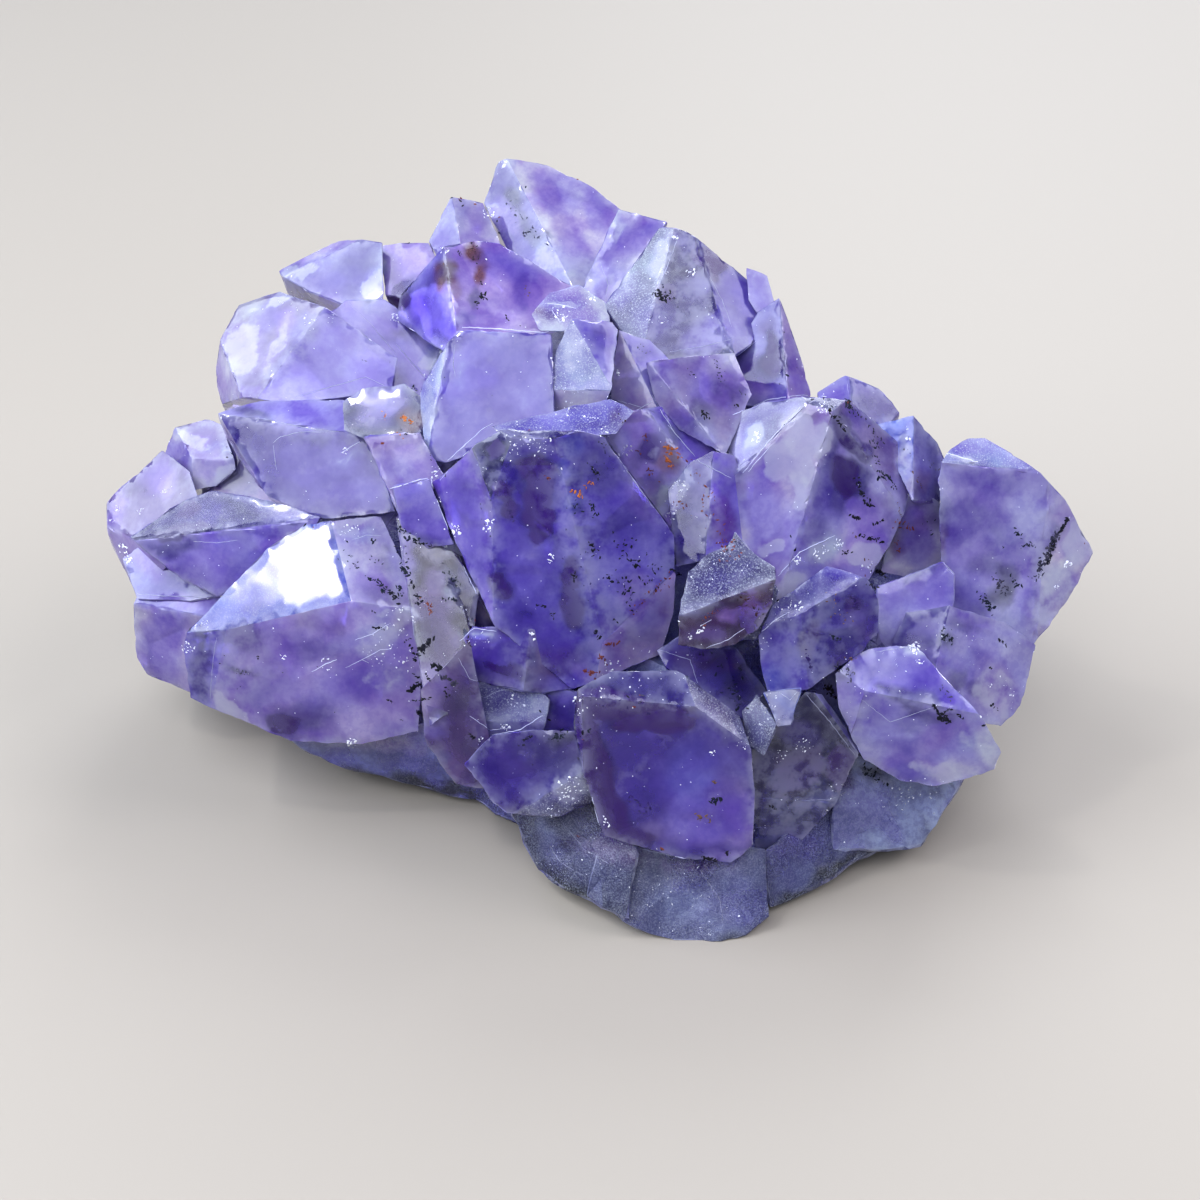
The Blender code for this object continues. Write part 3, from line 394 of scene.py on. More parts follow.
def quartz_planes(tip, az, el, twist, girth, length, setback):
    tip = np.array(tip, float)
    axis = facing(az, el)
    side = np.cross(axis, [0, 0, 1.0])
    if np.linalg.norm(side) < 0.05:
        side = np.array([1.0, 0, 0])
    side /= np.linalg.norm(side)
    over = np.cross(side, axis)
    planes = []
    for k in range(6):
        a = math.radians(twist + 60 * k)
        radial = math.cos(a) * side + math.sin(a) * over
        wide = girth / 2 * (1 + 0.10 * math.sin(2.1 * k + twist))
        planes.append((radial, float(radial @ tip) + wide))
        c = math.radians(CAP_ANGLE)
        n = math.sin(c) * axis + math.cos(c) * radial
        planes.append((n, float(n @ tip) - setback[k % len(setback)]))
    planes.append((-axis, float(-axis @ tip) + length))
    return planes


# ------------------------------------------------------------------------ base
# lumps of the quartz base: planes from a ring of points
BASE_SEEN = {
    "K1": ((586, 897, 2.5), 10, 24, [
        (-34, 32, [(500, 796), (519, 824), (539, 873), (555, 887), (586, 897), (628, 922), (640, 850), (612, 800), (575, 770)])]),
    "K2": ((690, 941, 0.0), 6, 26, [
        (2, 40, [(604, 830), (700, 845), (765, 850), (770, 917), (745, 935), (717, 941), (673, 940), (650, 935), (624, 920), (586, 896)])]),
    "K3": ((787, 903, 1.0), 8, 26, [
        (26, 36, [(762, 850), (820, 805), (880, 772), (905, 800), (878, 851), (827, 877), (805, 889), (787, 903), (768, 917)])]),
    "K4": ((906, 851, 2.5), 12, 26, [
        (14, 30, [(862, 762), (900, 775), (967, 776), (950, 802), (938, 828), (924, 846), (906, 851), (872, 851), (830, 852), (832, 775), (850, 750)])]),
    "K5": ((430, 790, 1.5), 8, 24, [
        (-8, -6, [(290, 739), (330, 765), (372, 775), (430, 790), (482, 801), (500, 800), (490, 750), (429, 722), (340, 725)])]),
}
# lumps of the base that carry the whole: rings of (x, y) mm, bottom to top
FOOT = [(8, -20), (17, -14), (23, -2), (22, 14), (14, 26), (-2, 30), (-16, 24),
        (-22, 10), (-17, -1), (-4, -12)]
LUMPS = [
    # rings: (height mm, grow factor about the middle of the foot, shift x, y)
    ("foot", [(0.0, 1.0, 0, 0), (1.6, 1.05, 0, 1), (8.0, 1.10, 0, 6), (18.0, 0.95, 0, 10)]),
    ("back", [(2.2, 0.70, -2, 12), (7.0, 0.92, -2, 13), (17.0, 0.92, -2, 14), (26.0, 0.75, -4, 14)]),
    ("left", [(3.0, 0.55, -20, 10), (9.0, 0.80, -20, 12), (19.0, 0.80, -20, 14), (26.0, 0.6, -17, 16)]),
    ("right", [(4.0, 0.50, 20, 2), (9.0, 0.70, 20, 4), (17.0, 0.7, 20, 5), (22.0, 0.5, 19, 7)]),
]
# the inside that joins the crystals' roots: centre and radii, mm
CORE = [((0, 18, 16), (28, 20, 17)), ((-18, 20, 16), (18, 17, 14)), ((20, 12, 14), (16, 12, 10)),
        ((-9, 29, 24), (17, 13, 13))]


def ring_solid(name, rings, foot=None):
    """A convex lump through rings of the foot's outline."""
    ring = foot or FOOT
    cx = sum(p[0] for p in ring) / len(ring)
    cy = sum(p[1] for p in ring) / len(ring)
    bm = bmesh.new()
    for i, (z, grow, sx, sy) in enumerate(rings):
        for j, (x, y) in enumerate(ring):
            wob = 1 + (0.06 * math.sin(2.3 * j + 1.7 * i + len(name)) if z > 0 else 0)
            bm.verts.new(((cx + (x - cx) * grow * wob + sx) * MM, (cy + (y - cy) * grow * wob + sy) * MM, z * MM))
    return hull_object(name, bm)


def ball_solid(name, centre, radii):
    bm = bmesh.new()
    bmesh.ops.create_icosphere(bm, subdivisions=2, radius=1.0)
    for v in bm.verts:
        wob = 1 + 0.05 * math.sin(7 * v.co.x + 3 * v.co.y) * math.cos(5 * v.co.z)
        v.co = [(centre[k] + radii[k] * v.co[k] * wob) * MM for k in range(3)]
        v.co.z = max(v.co.z, 3.0 * MM)
    return hull_object(name, bm)


def hull_object(name, bm):
    res = bmesh.ops.convex_hull(bm, input=bm.verts[:])
    loose = {g for g in res["geom_interior"] + res["geom_unused"] if isinstance(g, bmesh.types.BMVert)}
    bmesh.ops.delete(bm, geom=list(loose), context='VERTS')
    bmesh.ops.delete(bm, geom=[e for e in bm.edges if not e.link_faces], context='EDGES')
    bmesh.ops.dissolve_limit(bm, angle_limit=math.radians(0.5), verts=bm.verts[:], edges=bm.edges[:])
    bmesh.ops.recalc_face_normals(bm, faces=bm.faces[:])
    mesh = bpy.data.meshes.new(name)
    bm.to_mesh(mesh)
    bm.free()
    obj = bpy.data.objects.new(name, mesh)
    bpy.context.scene.collection.objects.link(obj)
    return obj


def solid_from_planes(name, planes, floor=None):
    """The room behind the planes, as a bmesh object in metres."""
    bm = bmesh.new()
    bmesh.ops.create_cube(bm, size=0.4)
    if floor is not None:
        planes = planes + [(np.array([0, 0, -1.0]), -floor)]
    for n, d in planes:
        co = [float(v) * d * MM for v in n]
        res = bmesh.ops.bisect_plane(bm, geom=bm.verts[:] + bm.edges[:] + bm.faces[:],
                                     dist=1e-7, plane_co=co, plane_no=[float(v) for v in n],
                                     clear_outer=True)
        cut = [e for e in res["geom_cut"] if isinstance(e, bmesh.types.BMEdge)]
        if cut:
            bmesh.ops.contextual_create(bm, geom=cut)
    bmesh.ops.remove_doubles(bm, verts=bm.verts[:], dist=2e-6)
    bmesh.ops.recalc_face_normals(bm, faces=bm.faces[:])
    mesh = bpy.data.meshes.new(name)
    bm.to_mesh(mesh)
    bm.free()
    obj = bpy.data.objects.new(name, mesh)
    bpy.context.scene.collection.objects.link(obj)
    return obj

# ------------------------------------------------------------------ the crystals
# colours: sRGB of the crystal under even light, except that wh, sh and gs also carry painted
# reflection and sheen; + and - after a name make it lighter or darker
TONE = {
    "pl": (176, 174, 236),   # pale lavender
    "lv": (148, 139, 216),   # lavender
    "vi": (108, 91, 182),   # violet
    "dv": (74, 50, 142),     # deep violet
    "dk": (40, 12, 100),     # darkest violet
    "wh": (214, 212, 232),   # milky white, partly a painted reflection of the window light
    "sh": (184, 200, 244),   # etched, bluish white: frosting with a painted sheen of the window's reflection
    "gs": (120, 118, 174),   # etched, dull grey-blue: frosting with a painted dull sheen
    "pk": (186, 172, 218),   # pinkish lavender
    "br": (122, 102, 150),   # brownish violet
    "bs": (108, 112, 156),   # base, grey-blue quartz
    "bp": (140, 148, 190),   # base, paler
    "bl": (110, 126, 206),   # blue
    "rd": (100, 48, 118),    # reddish violet
    "ru": (140, 96, 78),     # rust
    "gy": (98, 100, 124),    # grey smear
    "gn": (34, 44, 48),      # dark green-grey rind
    "yl": (198, 200, 190),   # greenish white
    "le": (148, 139, 216),   # lavender, lightly etched
    "ve": (108, 91, 182),    # violet, lightly etched
    "mi": (116, 128, 226),   # blue under the window's glare
    "vp": (114, 96, 170),    # violet, warmer
    "de": (74, 50, 142),     # deep violet, a little etched
    "ls": (148, 139, 216),   # lavender, a little etched
}
ETCHED = {"sh": 1.0, "gs": 1.0, "le": 1.0, "ve": 0.7, "mi": 0.25, "de": 0.3, "ls": 0.35}
# name: (sides, facets...); paler tones on faces that lie in shade, such as the first facets of T7 and N5, are painted
# light
LOOK = {
    "T1": "pl wh+ pl--", "T2": "lv pl--+ pl++", "T3": "pk pk", "T4": "lv pk+ lv", "T5": "lv lv+-+- sh",
    "T6": "lv sh-- lv+ pl+++", "T6b": "sh sh++", "T7": "lv wh+++ lv", "T8": "vi pk- pk-",
    "T9": "vi sh---- dk+ dv-- lv--+", "T10": "pl pl", "T11": "vi lv- pk+",
    "L1": "pl pl---+ pl++", "L2": "pl wh---+ pl pl+", "L3": "pl pl lv+-- wh++", "L3b": "vi dv--", "L4": "pl wh--+ pl++ pl-++",
    "L4b": "pl pk---+ pk-", "L5": "vi de- lv++", "L6": "vi mi--+ lv lv+++ pl++", "L7": "lv pl pl++",
    "C1": "vp vp++ dk-- de- vi vi-+ pk++", "C2": "vi lv+++-", "C3": "br br-----", "C3b": "br br-----", "C4": "vi vp++- pk--",
    "C5": "gs gs vi-", "C6": "vi vp- gs---", "C7": "vi pk-+ vp+++", "C8": "vi dv vp+++",
    "N1": "pl pl++-", "N2": "lv wh", "N3": "pl pl++", "N4": "gs gs++", "N5": "pl wh+++", "N6": "br br",
    "N7": "gs gs--", "N8": "pl pl-", "N9": "vi-- vi-", "N10": "vi- vi--",
    "F1": "vi vi---+ gs--- vi- dk---",
    "R1": "lv ls--- wh++ pl+ pk- de-", "R2": "lv bl+ pl-", "R3": "lv lv vi-", "R4": "br pk+++",
    "R5": "lv pl+ sh- wh++", "R6": "lv pl+", "R7": "lv vi- pl+", "R8": "lv lv+ lv++ pl",
    "M1": "vi de++ vi vi-", "M2": "dv gs--- rd--+", "M3": "dv vi-", "M4": "bl vi----", "M5": "gs- gs---", "M6": "dv dk+ lv dk",
    "K1": "bs bs-----", "K2": "bs bs--+", "K3": "bs bs-", "K4": "bs bp+++", "K5": "bs bs++++",
}
FAR_LOOK = ["lv", "vi", "pl", "lv-", "vi", "pl-", "lv"]
# colour strokes, some of them painted sheen and painted light: x, y, half-length, half-width (pixels), turn (degrees),
# tone, strength
STROKES = [
    # T1 to T3
    (572, 190, 44, 16, 22, "lv", 0.45), (600, 215, 20, 12, 50, "lv", 0.4), (556, 205, 30, 10, 10, "lv", 0.35),
    (512, 203, 9, 12, -20, "gy", 0.8), (520, 222, 12, 15, -40, "gy", 0.8), (534, 237, 9, 10, -30, "gy", 0.75),
    (547, 236, 6, 8, 0, "gy", 0.7), (490, 214, 10, 8, 0, "sh", 0.8), (505, 165, 7, 6, 0, "sh", 0.7),
    (560, 262, 40, 22, 20, "sh", 0.6), (590, 285, 16, 20, 0, "sh", 0.5), (617, 228, 10, 20, 10, "sh", 0.7),
    (455, 215, 10, 16, 10, "lv-", 0.5), (438, 236, 12, 20, 10, "pl", 0.4),
    (395, 280, 8, 30, -20, "br", 0.55), (412, 270, 20, 16, 0, "pk", 0.4),
    # T4
    (444, 274, 9, 19, -12, "ru", 0.95), (468, 252, 12, 11, 0, "ru", 0.95), (480, 272, 7, 14, 0, "ru", 0.85),
    (450, 290, 10, 14, 0, "ru", 0.4), (399, 297, 11, 12, 0, "dk", 1.0), (410, 285, 14, 8, -30, "dv", 0.8),
    (433, 300, 8, 40, 5, "vi-", 0.6), (405, 318, 16, 10, 0, "pl", 0.6), (400, 330, 16, 6, -10, "gy", 0.5),
    (455, 320, 24, 8, 0, "vi", 0.5), (510, 270, 30, 12, 20, "lv", 0.5), (520, 290, 10, 22, 0, "vi", 0.45),
    (500, 305, 30, 10, 0, "pk", 0.35), (545, 300, 20, 20, 30, "pl", 0.5), (476, 300, 8, 14, 0, "gy", 0.6),
    (535, 314, 10, 6, 0, "ru", 0.5), (550, 320, 10, 8, 0, "br", 0.5),
    # T5
    (450, 340, 22, 6, -8, "dv", 0.8), (433, 360, 16, 8, -60, "sh", 0.9), (427, 410, 7, 44, 0, "sh", 0.7),
    (470, 352, 16, 20, 0, "lv", 0.5), (528, 370, 10, 24, 0, "vi", 0.4), (552, 378, 5, 40, 0, "vi", 0.6),
    (500, 392, 40, 22, -10, "pl", 0.4), (452, 425, 14, 24, 0, "vi", 0.4), (495, 418, 30, 6, -25, "vi", 0.5),
    (462, 372, 3, 18, 0, "sh", 0.5), (520, 410, 24, 16, 0, "pl", 0.3),
    # T6 to T8
    (574, 355, 16, 30, 0, "sh", 0.5), (590, 385, 22, 6, 0, "pl", 0.6), (600, 345, 12, 20, 0, "lv-", 0.5),
    (612, 360, 8, 22, 0, "vi-", 0.5), (580, 406, 26, 8, 0, "vi", 0.5), (563, 305, 26, 5, 5, "sh", 0.9),
    (604, 330, 10, 8, 0, "br", 0.4), (632, 380, 14, 14, 0, "lv", 0.5), (675, 350, 30, 4, -6, "vi-", 0.6),
    (660, 375, 20, 18, 0, "pl", 0.35), (705, 385, 16, 22, 20, "lv", 0.4), (670, 352, 24, 8, 0, "dv", 0.3),
    (700, 412, 10, 14, 0, "gy", 0.5), (720, 372, 6, 24, 10, "gy", 0.45), (735, 400, 10, 14, 0, "gy", 0.4),
    (680, 425, 18, 16, 20, "lv", 0.4), (660, 420, 10, 20, -30, "vi-", 0.5), (718, 440, 12, 20, 0, "pk", 0.3),
    # T9, T10, T11
    (660, 258, 12, 24, 15, "sh+", 0.7), (622, 285, 18, 26, 0, "sh", 0.5), (600, 262, 18, 30, 0, "pl", 0.5),
    (650, 225, 14, 8, 0, "lv", 0.5), (690, 262, 14, 8, 0, "dv", 0.7), (706, 262, 10, 22, -30, "dk", 0.85),
    (715, 258, 14, 9, 50, "dk", 0.8), (688, 245, 8, 14, 0, "vi", 0.5), (664, 293, 14, 10, 20, "dk", 0.95),
    (690, 290, 24, 12, -5, "dv", 0.8), (680, 318, 26, 16, 0, "dv", 0.55), (655, 322, 10, 16, 0, "vi", 0.5),
    (700, 340, 24, 14, -10, "pl", 0.55), (722, 322, 14, 18, 0, "lv", 0.5), (742, 285, 20, 16, 30, "lv", 0.6),
    (745, 320, 12, 26, 0, "lv", 0.5), (715, 345, 22, 6, -15, "dv", 0.45), (760, 300, 12, 24, 0, "lv", 0.5),
    (770, 335, 14, 16, 0, "br", 0.5), (755, 375, 20, 22, 0, "br", 0.45), (780, 350, 6, 34, -8, "dv", 0.4),
    (795, 360, 8, 30, -8, "pk", 0.4), (640, 348, 20, 8, 10, "dv", 0.4),
    # L1 to L4
    (300, 268, 28, 7, -22, "sh", 0.8), (325, 260, 36, 10, -12, "pl", 0.5), (372, 285, 9, 22, 8, "sh", 0.95),
    (380, 262, 5, 20, 0, "sh", 0.6), (340, 280, 26, 12, 0, "lv", 0.25), (290, 298, 40, 8, -14, "sh+", 0.8),
    (240, 350, 22, 30, 20, "wh", 0.8), (285, 325, 16, 16, 0, "pk", 0.7), (265, 318, 14, 20, 30, "pl", 0.5),
    (250, 392, 18, 8, -10, "pk", 0.5), (222, 370, 6, 30, 0, "pk", 0.6), (275, 345, 7, 34, 26, "wh", 0.6),
    (300, 345, 16, 30, 30, "lv-", 0.7), (335, 316, 12, 6, 20, "vi", 0.6), (345, 350, 44, 18, 10, "pl", 0.5),
    (330, 305, 16, 14, 0, "pk", 0.4), (352, 325, 22, 8, 40, "pl", 0.5), (300, 375, 30, 12, 0, "pl", 0.4),
    (362, 395, 34, 10, -5, "lv", 0.5), (395, 360, 16, 30, 30, "lv", 0.5), (400, 380, 10, 16, 0, "vi", 0.4),
    (350, 420, 10, 8, 0, "dv", 0.5), (375, 415, 20, 12, 0, "vi", 0.65), (390, 402, 20, 16, 0, "lv", 0.5),
    (410, 420, 14, 10, 0, "ru", 0.55), (396, 433, 12, 4, 0, "ru", 0.5),
    (250, 415, 24, 5, 8, "gy", 0.55), (300, 420, 30, 8, 4, "pl", 0.5), (240, 450, 16, 30, 35, "dv", 0.7),
    (262, 436, 40, 8, 8, "dv", 0.6), (330, 436, 30, 4, 0, "dv", 0.6), (268, 470, 10, 24, 20, "vi", 0.5),
    (310, 470, 40, 24, 10, "lv-", 0.35), (355, 495, 44, 16, -5, "pl", 0.6), (395, 470, 24, 16, 20, "pl", 0.5),
    (345, 455, 20, 5, -20, "sh", 0.5), (300, 512, 30, 5, 8, "lv", 0.5),
    (215, 447, 24, 4, 0, "sh", 0.6), (208, 465, 24, 14, 0, "pk", 0.6), (190, 440, 16, 8, 0, "wh", 0.7),
    (240, 480, 24, 18, 30, "sh", 0.8), (255, 500, 24, 8, 8, "sh", 0.6),
    # L4b, L5, L7
    (160, 478, 18, 22, 10, "pk", 0.7), (118, 515, 12, 26, 0, "pk", 0.8), (150, 560, 20, 16, 40, "pk", 0.7),
    (130, 525, 10, 8, 0, "br", 0.3), (185, 510, 18, 9, -20, "dk", 0.6), (180, 530, 34, 8, -8, "dk", 0.6),
    (172, 548, 30, 9, 0, "dv", 0.8), (205, 515, 24, 12, -10, "vi", 0.6), (190, 575, 20, 10, 30, "dv", 0.4),
    (245, 540, 36, 14, 0, "vi", 0.5), (250, 562, 30, 12, -20, "lv-", 0.5), (280, 525, 24, 12, 0, "lv", 0.5),
    (190, 598, 34, 8, 0, "pk", 0.6), (150, 600, 20, 6, 0, "pl", 0.6), (160, 640, 24, 30, 0, "lv", 0.5),
    (147, 655, 8, 22, 0, "vi", 0.4), (175, 625, 12, 20, 0, "pl", 0.3),
    # L6
    (198, 640, 12, 10, 0, "gy", 0.6), (201, 670, 12, 34, 0, "dv", 0.85), (240, 640, 24, 14, 0, "vi-", 0.6),
    (283, 722, 18, 14, 0, "dk", 0.9), (300, 715, 34, 20, 0, "dv", 0.7), (320, 650, 26, 14, 0, "vi-", 0.6),
    (250, 680, 26, 24, 0, "vi", 0.35), (275, 690, 30, 12, -20, "lv", 0.4), (340, 690, 40, 22, -20, "lv", 0.5),
    (345, 640, 30, 8, -10, "pl", 0.5), (380, 640, 34, 20, -20, "sh", 0.6), (400, 615, 30, 8, 0, "sh", 0.7),
    (385, 675, 24, 16, -20, "sh", 0.5), (400, 710, 34, 22, -20, "pk", 0.7), (370, 738, 40, 7, 0, "pk", 0.6),
    (240, 672, 14, 4, 0, "gy", 0.7), (225, 665, 8, 28, 0, "lv", 0.4), (300, 740, 40, 5, 5, "dv", 0.5),
    (375, 540, 34, 16, 5, "vi", 0.35), (370, 560, 22, 16, 0, "wh", 0.5), (395, 560, 14, 16, 0, "gy", 0.45),
    (385, 595, 26, 12, 10, "gy", 0.4), (350, 532, 20, 7, 0, "sh", 0.6), (430, 600, 22, 14, 0, "br", 0.5),
    (380, 515, 40, 6, 5, "pk", 0.4), (405, 545, 10, 14, 0, "gy", 0.5),
    # C2, C3
    (415, 505, 24, 20, 0, "vi", 0.4), (420, 540, 26, 8, 0, "dv", 0.6), (405, 492, 14, 8, 0, "lv", 0.4),
    (448, 575, 16, 14, 0, "gy", 0.7), (408, 568, 12, 12, 0, "gy", 0.7), (435, 550, 18, 8, 0, "wh", 0.4),
    (440, 605, 26, 14, 0, "br", 0.6), (455, 590, 14, 5, 0, "sh", 0.4), (432, 580, 12, 16, 0, "pk", 0.4),
    (445, 640, 16, 24, 0, "pk", 0.4), (430, 690, 24, 30, 0, "pk", 0.6), (455, 700, 16, 16, 0, "gy", 0.5),
    (405, 730, 30, 10, 0, "pl", 0.5),
    # C1
    (520, 500, 36, 56, 0, "dv", 0.25), (620, 555, 34, 50, -15, "lv-", 0.5), (470, 530, 14, 50, -12, "lv", 0.5),
    (530, 600, 50, 20, 0, "lv-", 0.4), (497, 453, 7, 11, 0, "dk", 1.0), (484, 452, 8, 12, 0, "gy", 0.35), (489, 490, 7, 24, 5, "gy", 0.35),
    (480, 465, 8, 20, 0, "dv", 0.5), (530, 440, 20, 6, 0, "gs", 0.4), (534, 457, 20, 6, 0, "gy", 0.5),
    (532, 468, 20, 9, 4, "dk", 1.0), (515, 478, 20, 12, 0, "dv", 0.8), (536, 487, 12, 9, 0, "dk", 0.9),
    (503, 490, 10, 9, 0, "dk", 0.7), (512, 508, 8, 14, 0, "dk", 0.7), (541, 515, 15, 12, 0, "dk", 1.0),
    (540, 532, 12, 10, 0, "dk", 0.85), (555, 490, 10, 24, 0, "dv", 0.6), (550, 450, 14, 12, 0, "vi", 0.5),
    (520, 545, 30, 18, 0, "lv-", 0.5), (500, 545, 10, 30, 0, "vi", 0.4), (565, 540, 8, 20, 0, "pl", 0.4),
    (520, 580, 24, 20, -30, "lv", 0.5), (500, 590, 12, 18, 0, "dk", 0.7), (569, 578, 9, 20, 10, "dk", 0.8),
    (575, 610, 12, 18, 0, "dk", 0.7), (522, 615, 8, 5, 0, "dv", 0.6), (540, 640, 40, 14, 0, "vi", 0.4),
    (550, 665, 40, 22, 0, "rd", 0.22), (578, 650, 24, 10, 0, "dv", 0.35), (560, 685, 30, 8, 0, "lv", 0.4),
    (490, 555, 20, 30, 0, "vi", 0.35), (465, 500, 12, 26, -20, "lv-", 0.5), (470, 560, 12, 40, -15, "vi", 0.4),
    (575, 445, 16, 12, 0, "bl", 0.4), (565, 470, 10, 14, 0, "bl", 0.4), (594, 470, 10, 12, 0, "gy", 0.5),
    (575, 506, 12, 9, 0, "bl-", 0.7), (605, 480, 12, 18, 0, "gy", 0.45), (620, 470, 10, 20, -20, "vi-", 0.5),
    (600, 520, 12, 12, 0, "lv", 0.4), (610, 560, 24, 24, 0, "lv", 0.35), (640, 530, 20, 24, 0, "vi", 0.4),
    (655, 560, 14, 24, 0, "lv", 0.3), (630, 585, 20, 16, 0, "gy", 0.35), (645, 500, 14, 30, -30, "pk", 0.35),
    (640, 625, 30, 16, -40, "pk", 0.6), (655, 605, 14, 16, -40, "ru", 0.35), (625, 655, 22, 8, 0, "ru", 0.35),
    (640, 640, 20, 10, 0, "br", 0.4), (610, 640, 16, 24, 0, "pk", 0.4), (590, 600, 10, 24, -10, "vi", 0.4),
    # C4 to C6
    (490, 655, 20, 18, 0, "vi", 0.5), (508, 672, 26, 6, 25, "dk", 0.7), (470, 672, 10, 12, 0, "vi-", 0.5),
    (532, 655, 5, 14, 5, "dv", 0.8), (560, 660, 30, 20, 0, "rd", 0.2), (585, 678, 24, 6, 20, "pk", 0.5),
    (480, 632, 20, 4, 0, "sh", 0.7), (505, 700, 36, 14, 0, "gs", 0.6), (480, 715, 14, 10, 0, "vi-", 0.4),
    (535, 706, 14, 10, 0, "sh", 0.5), (545, 720, 30, 8, 0, "pk", 0.3), (560, 735, 14, 9, 0, "gn", 0.6),
    (490, 780, 30, 20, 30, "dv", 0.4), (545, 755, 30, 16, 0, "gy", 0.4), (520, 790, 20, 12, 40, "vi-", 0.4),
    (443, 755, 9, 7, 0, "dv", 0.7), (475, 745, 20, 10, 0, "gy", 0.35), (455, 735, 20, 12, 0, "br", 0.4),
    (572, 788, 22, 14, -30, "sh", 0.9), (545, 805, 20, 10, -30, "bp", 0.6), (580, 770, 8, 10, 0, "sh", 0.5),
    # C7, C8
    (612, 415, 8, 8, 0, "rd-", 0.6), (620, 425, 18, 14, 0, "br", 0.5), (615, 445, 14, 12, -40, "sh", 0.7),
    (650, 448, 14, 18, 0, "dk", 0.6), (668, 455, 14, 18, 15, "ru", 0.75), (635, 460, 10, 12, 0, "gy", 0.4),
    (655, 480, 14, 10, 0, "vi-", 0.5), (680, 485, 12, 24, 30, "sh", 0.7), (668, 505, 12, 10, 0, "gy", 0.5),
    (702, 505, 8, 30, 0, "dv", 0.4), (735, 490, 12, 40, 5, "dv", 0.6), (722, 520, 18, 20, 0, "rd", 0.6),
    (715, 535, 16, 8, 0, "rd", 0.6), (690, 540, 20, 12, 0, "vi", 0.4), (712, 470, 16, 8, 40, "gs", 0.6),
    (740, 470, 10, 14, 50, "gs", 0.5), (700, 430, 10, 20, -30, "gs", 0.5), (625, 400, 30, 5, 20, "lv", 0.4),
    # F1
    (635, 706, 56, 10, 3, "dk", 1.0), (650, 722, 44, 12, 0, "dk", 0.85), (675, 740, 16, 22, 0, "dv", 0.7),
    (588, 735, 12, 26, -10, "dk", 0.9), (600, 772, 14, 34, -14, "dk", 0.95), (612, 810, 16, 30, -20, "dk", 0.85),
    (626, 836, 30, 9, 14, "dk", 0.85), (632, 750, 20, 16, 0, "vi-", 0.5), (640, 785, 26, 30, -20, "vi", 0.5),
    (690, 772, 28, 30, 0, "bl", 0.55), (700, 750, 30, 20, 0, "lv-", 0.45), (735, 770, 16, 50, 0, "lv-", 0.5),
    (690, 805, 34, 12, 5, "lv", 0.4), (715, 830, 34, 20, 0, "pk-", 0.65), (670, 835, 40, 10, 8, "pk-", 0.4),
    (655, 800, 20, 14, 0, "dv", 0.35), (730, 800, 20, 24, 0, "pk-", 0.5), (700, 720, 26, 14, 30, "vi", 0.4),
    (640, 680, 50, 8, 0, "gs-", 0.6), (715, 705, 24, 16, 45, "br", 0.4), (690, 690, 14, 10, 45, "gs", 0.4),
    # M1 to M6
    (800, 590, 34, 12, -32, "gs-", 0.4), (790, 595, 12, 16, 0, "gs", 0.5), (838, 590, 30, 16, -10, "dv", 0.5),
    (855, 605, 10, 12, 0, "dk", 0.6), (810, 640, 12, 24, 0, "dk", 0.6), (790, 625, 12, 10, 0, "dv", 0.5),
    (785, 655, 22, 26, 0, "lv-", 0.45), (775, 680, 16, 14, 0, "bl", 0.45), (840, 630, 24, 24, 20, "dv", 0.4),
    (832, 655, 20, 12, -30, "br", 0.35), (862, 625, 14, 20, 0, "br", 0.35), (800, 676, 10, 14, 0, "lv", 0.4),
    (725, 575, 34, 14, -16, "gs-", 0.5), (735, 560, 20, 10, -10, "gy", 0.4),
    (730, 618, 34, 12, -18, "rd", 0.8), (705, 640, 24, 8, 0, "pk", 0.5), (735, 612, 10, 7, -18, "pk+", 0.7),
    (752, 602, 14, 10, -20, "ru", 0.4), (748, 625, 14, 14, 0, "rd-", 0.6), (700, 612, 14, 8, -18, "dv", 0.6),
    # over M3: dark strokes, partly painted shade of the cavity under M2
    (720, 660, 30, 18, 0, "dk", 0.6), (740, 690, 24, 20, 0, "gn", 0.45), (690, 655, 16, 6, 0, "gy", 0.4),
    (690, 665, 20, 14, 30, "br", 0.35), (760, 680, 14, 10, 0, "bl-", 0.5),
    (783, 706, 14, 14, 0, "bl", 0.5), (757, 720, 14, 24, 0, "gs", 0.5),
    (840, 768, 16, 26, 0, "dk", 0.85), (780, 770, 26, 18, 0, "dv", 0.6), (800, 735, 26, 14, 30, "vi", 0.5),
    (810, 755, 12, 14, 0, "dk", 0.5), (785, 790, 24, 12, 0, "dk", 0.4), (780, 835, 20, 24, 0, "dv", 0.45),
    (835, 725, 14, 34, -38, "gy", 0.5), (770, 760, 8, 14, 0, "gs", 0.4), (760, 800, 10, 12, 0, "vi", 0.4),
    # R1
    (747, 440, 12, 28, 10, "lv", 0.6), (757, 437, 12, 9, -30, "sh", 0.9), (790, 408, 16, 8, -20, "pl", 0.5),
    (800, 432, 19, 20, 20, "wh", 1.0), (782, 462, 17, 22, 15, "wh", 1.0), (803, 470, 13, 30, 0, "wh", 1.0),
    (812, 414, 10, 9, 0, "yl", 0.9), (800, 500, 8, 14, 20, "wh", 0.7), (768, 462, 8, 16, 15, "pk", 0.5),
    (755, 510, 20, 22, 0, "lv", 0.6), (785, 530, 20, 24, 0, "pl", 0.4), (760, 545, 24, 14, 0, "pl", 0.5),
    (797, 520, 6, 26, 5, "vi", 0.4), (852, 440, 10, 26, -28, "dk", 0.95), (846, 478, 14, 20, -10, "dk", 0.85),
    (832, 450, 10, 30, 10, "dv", 0.8), (836, 500, 12, 26, 0, "dv", 0.7), (858, 480, 10, 20, -20, "dv", 0.8),
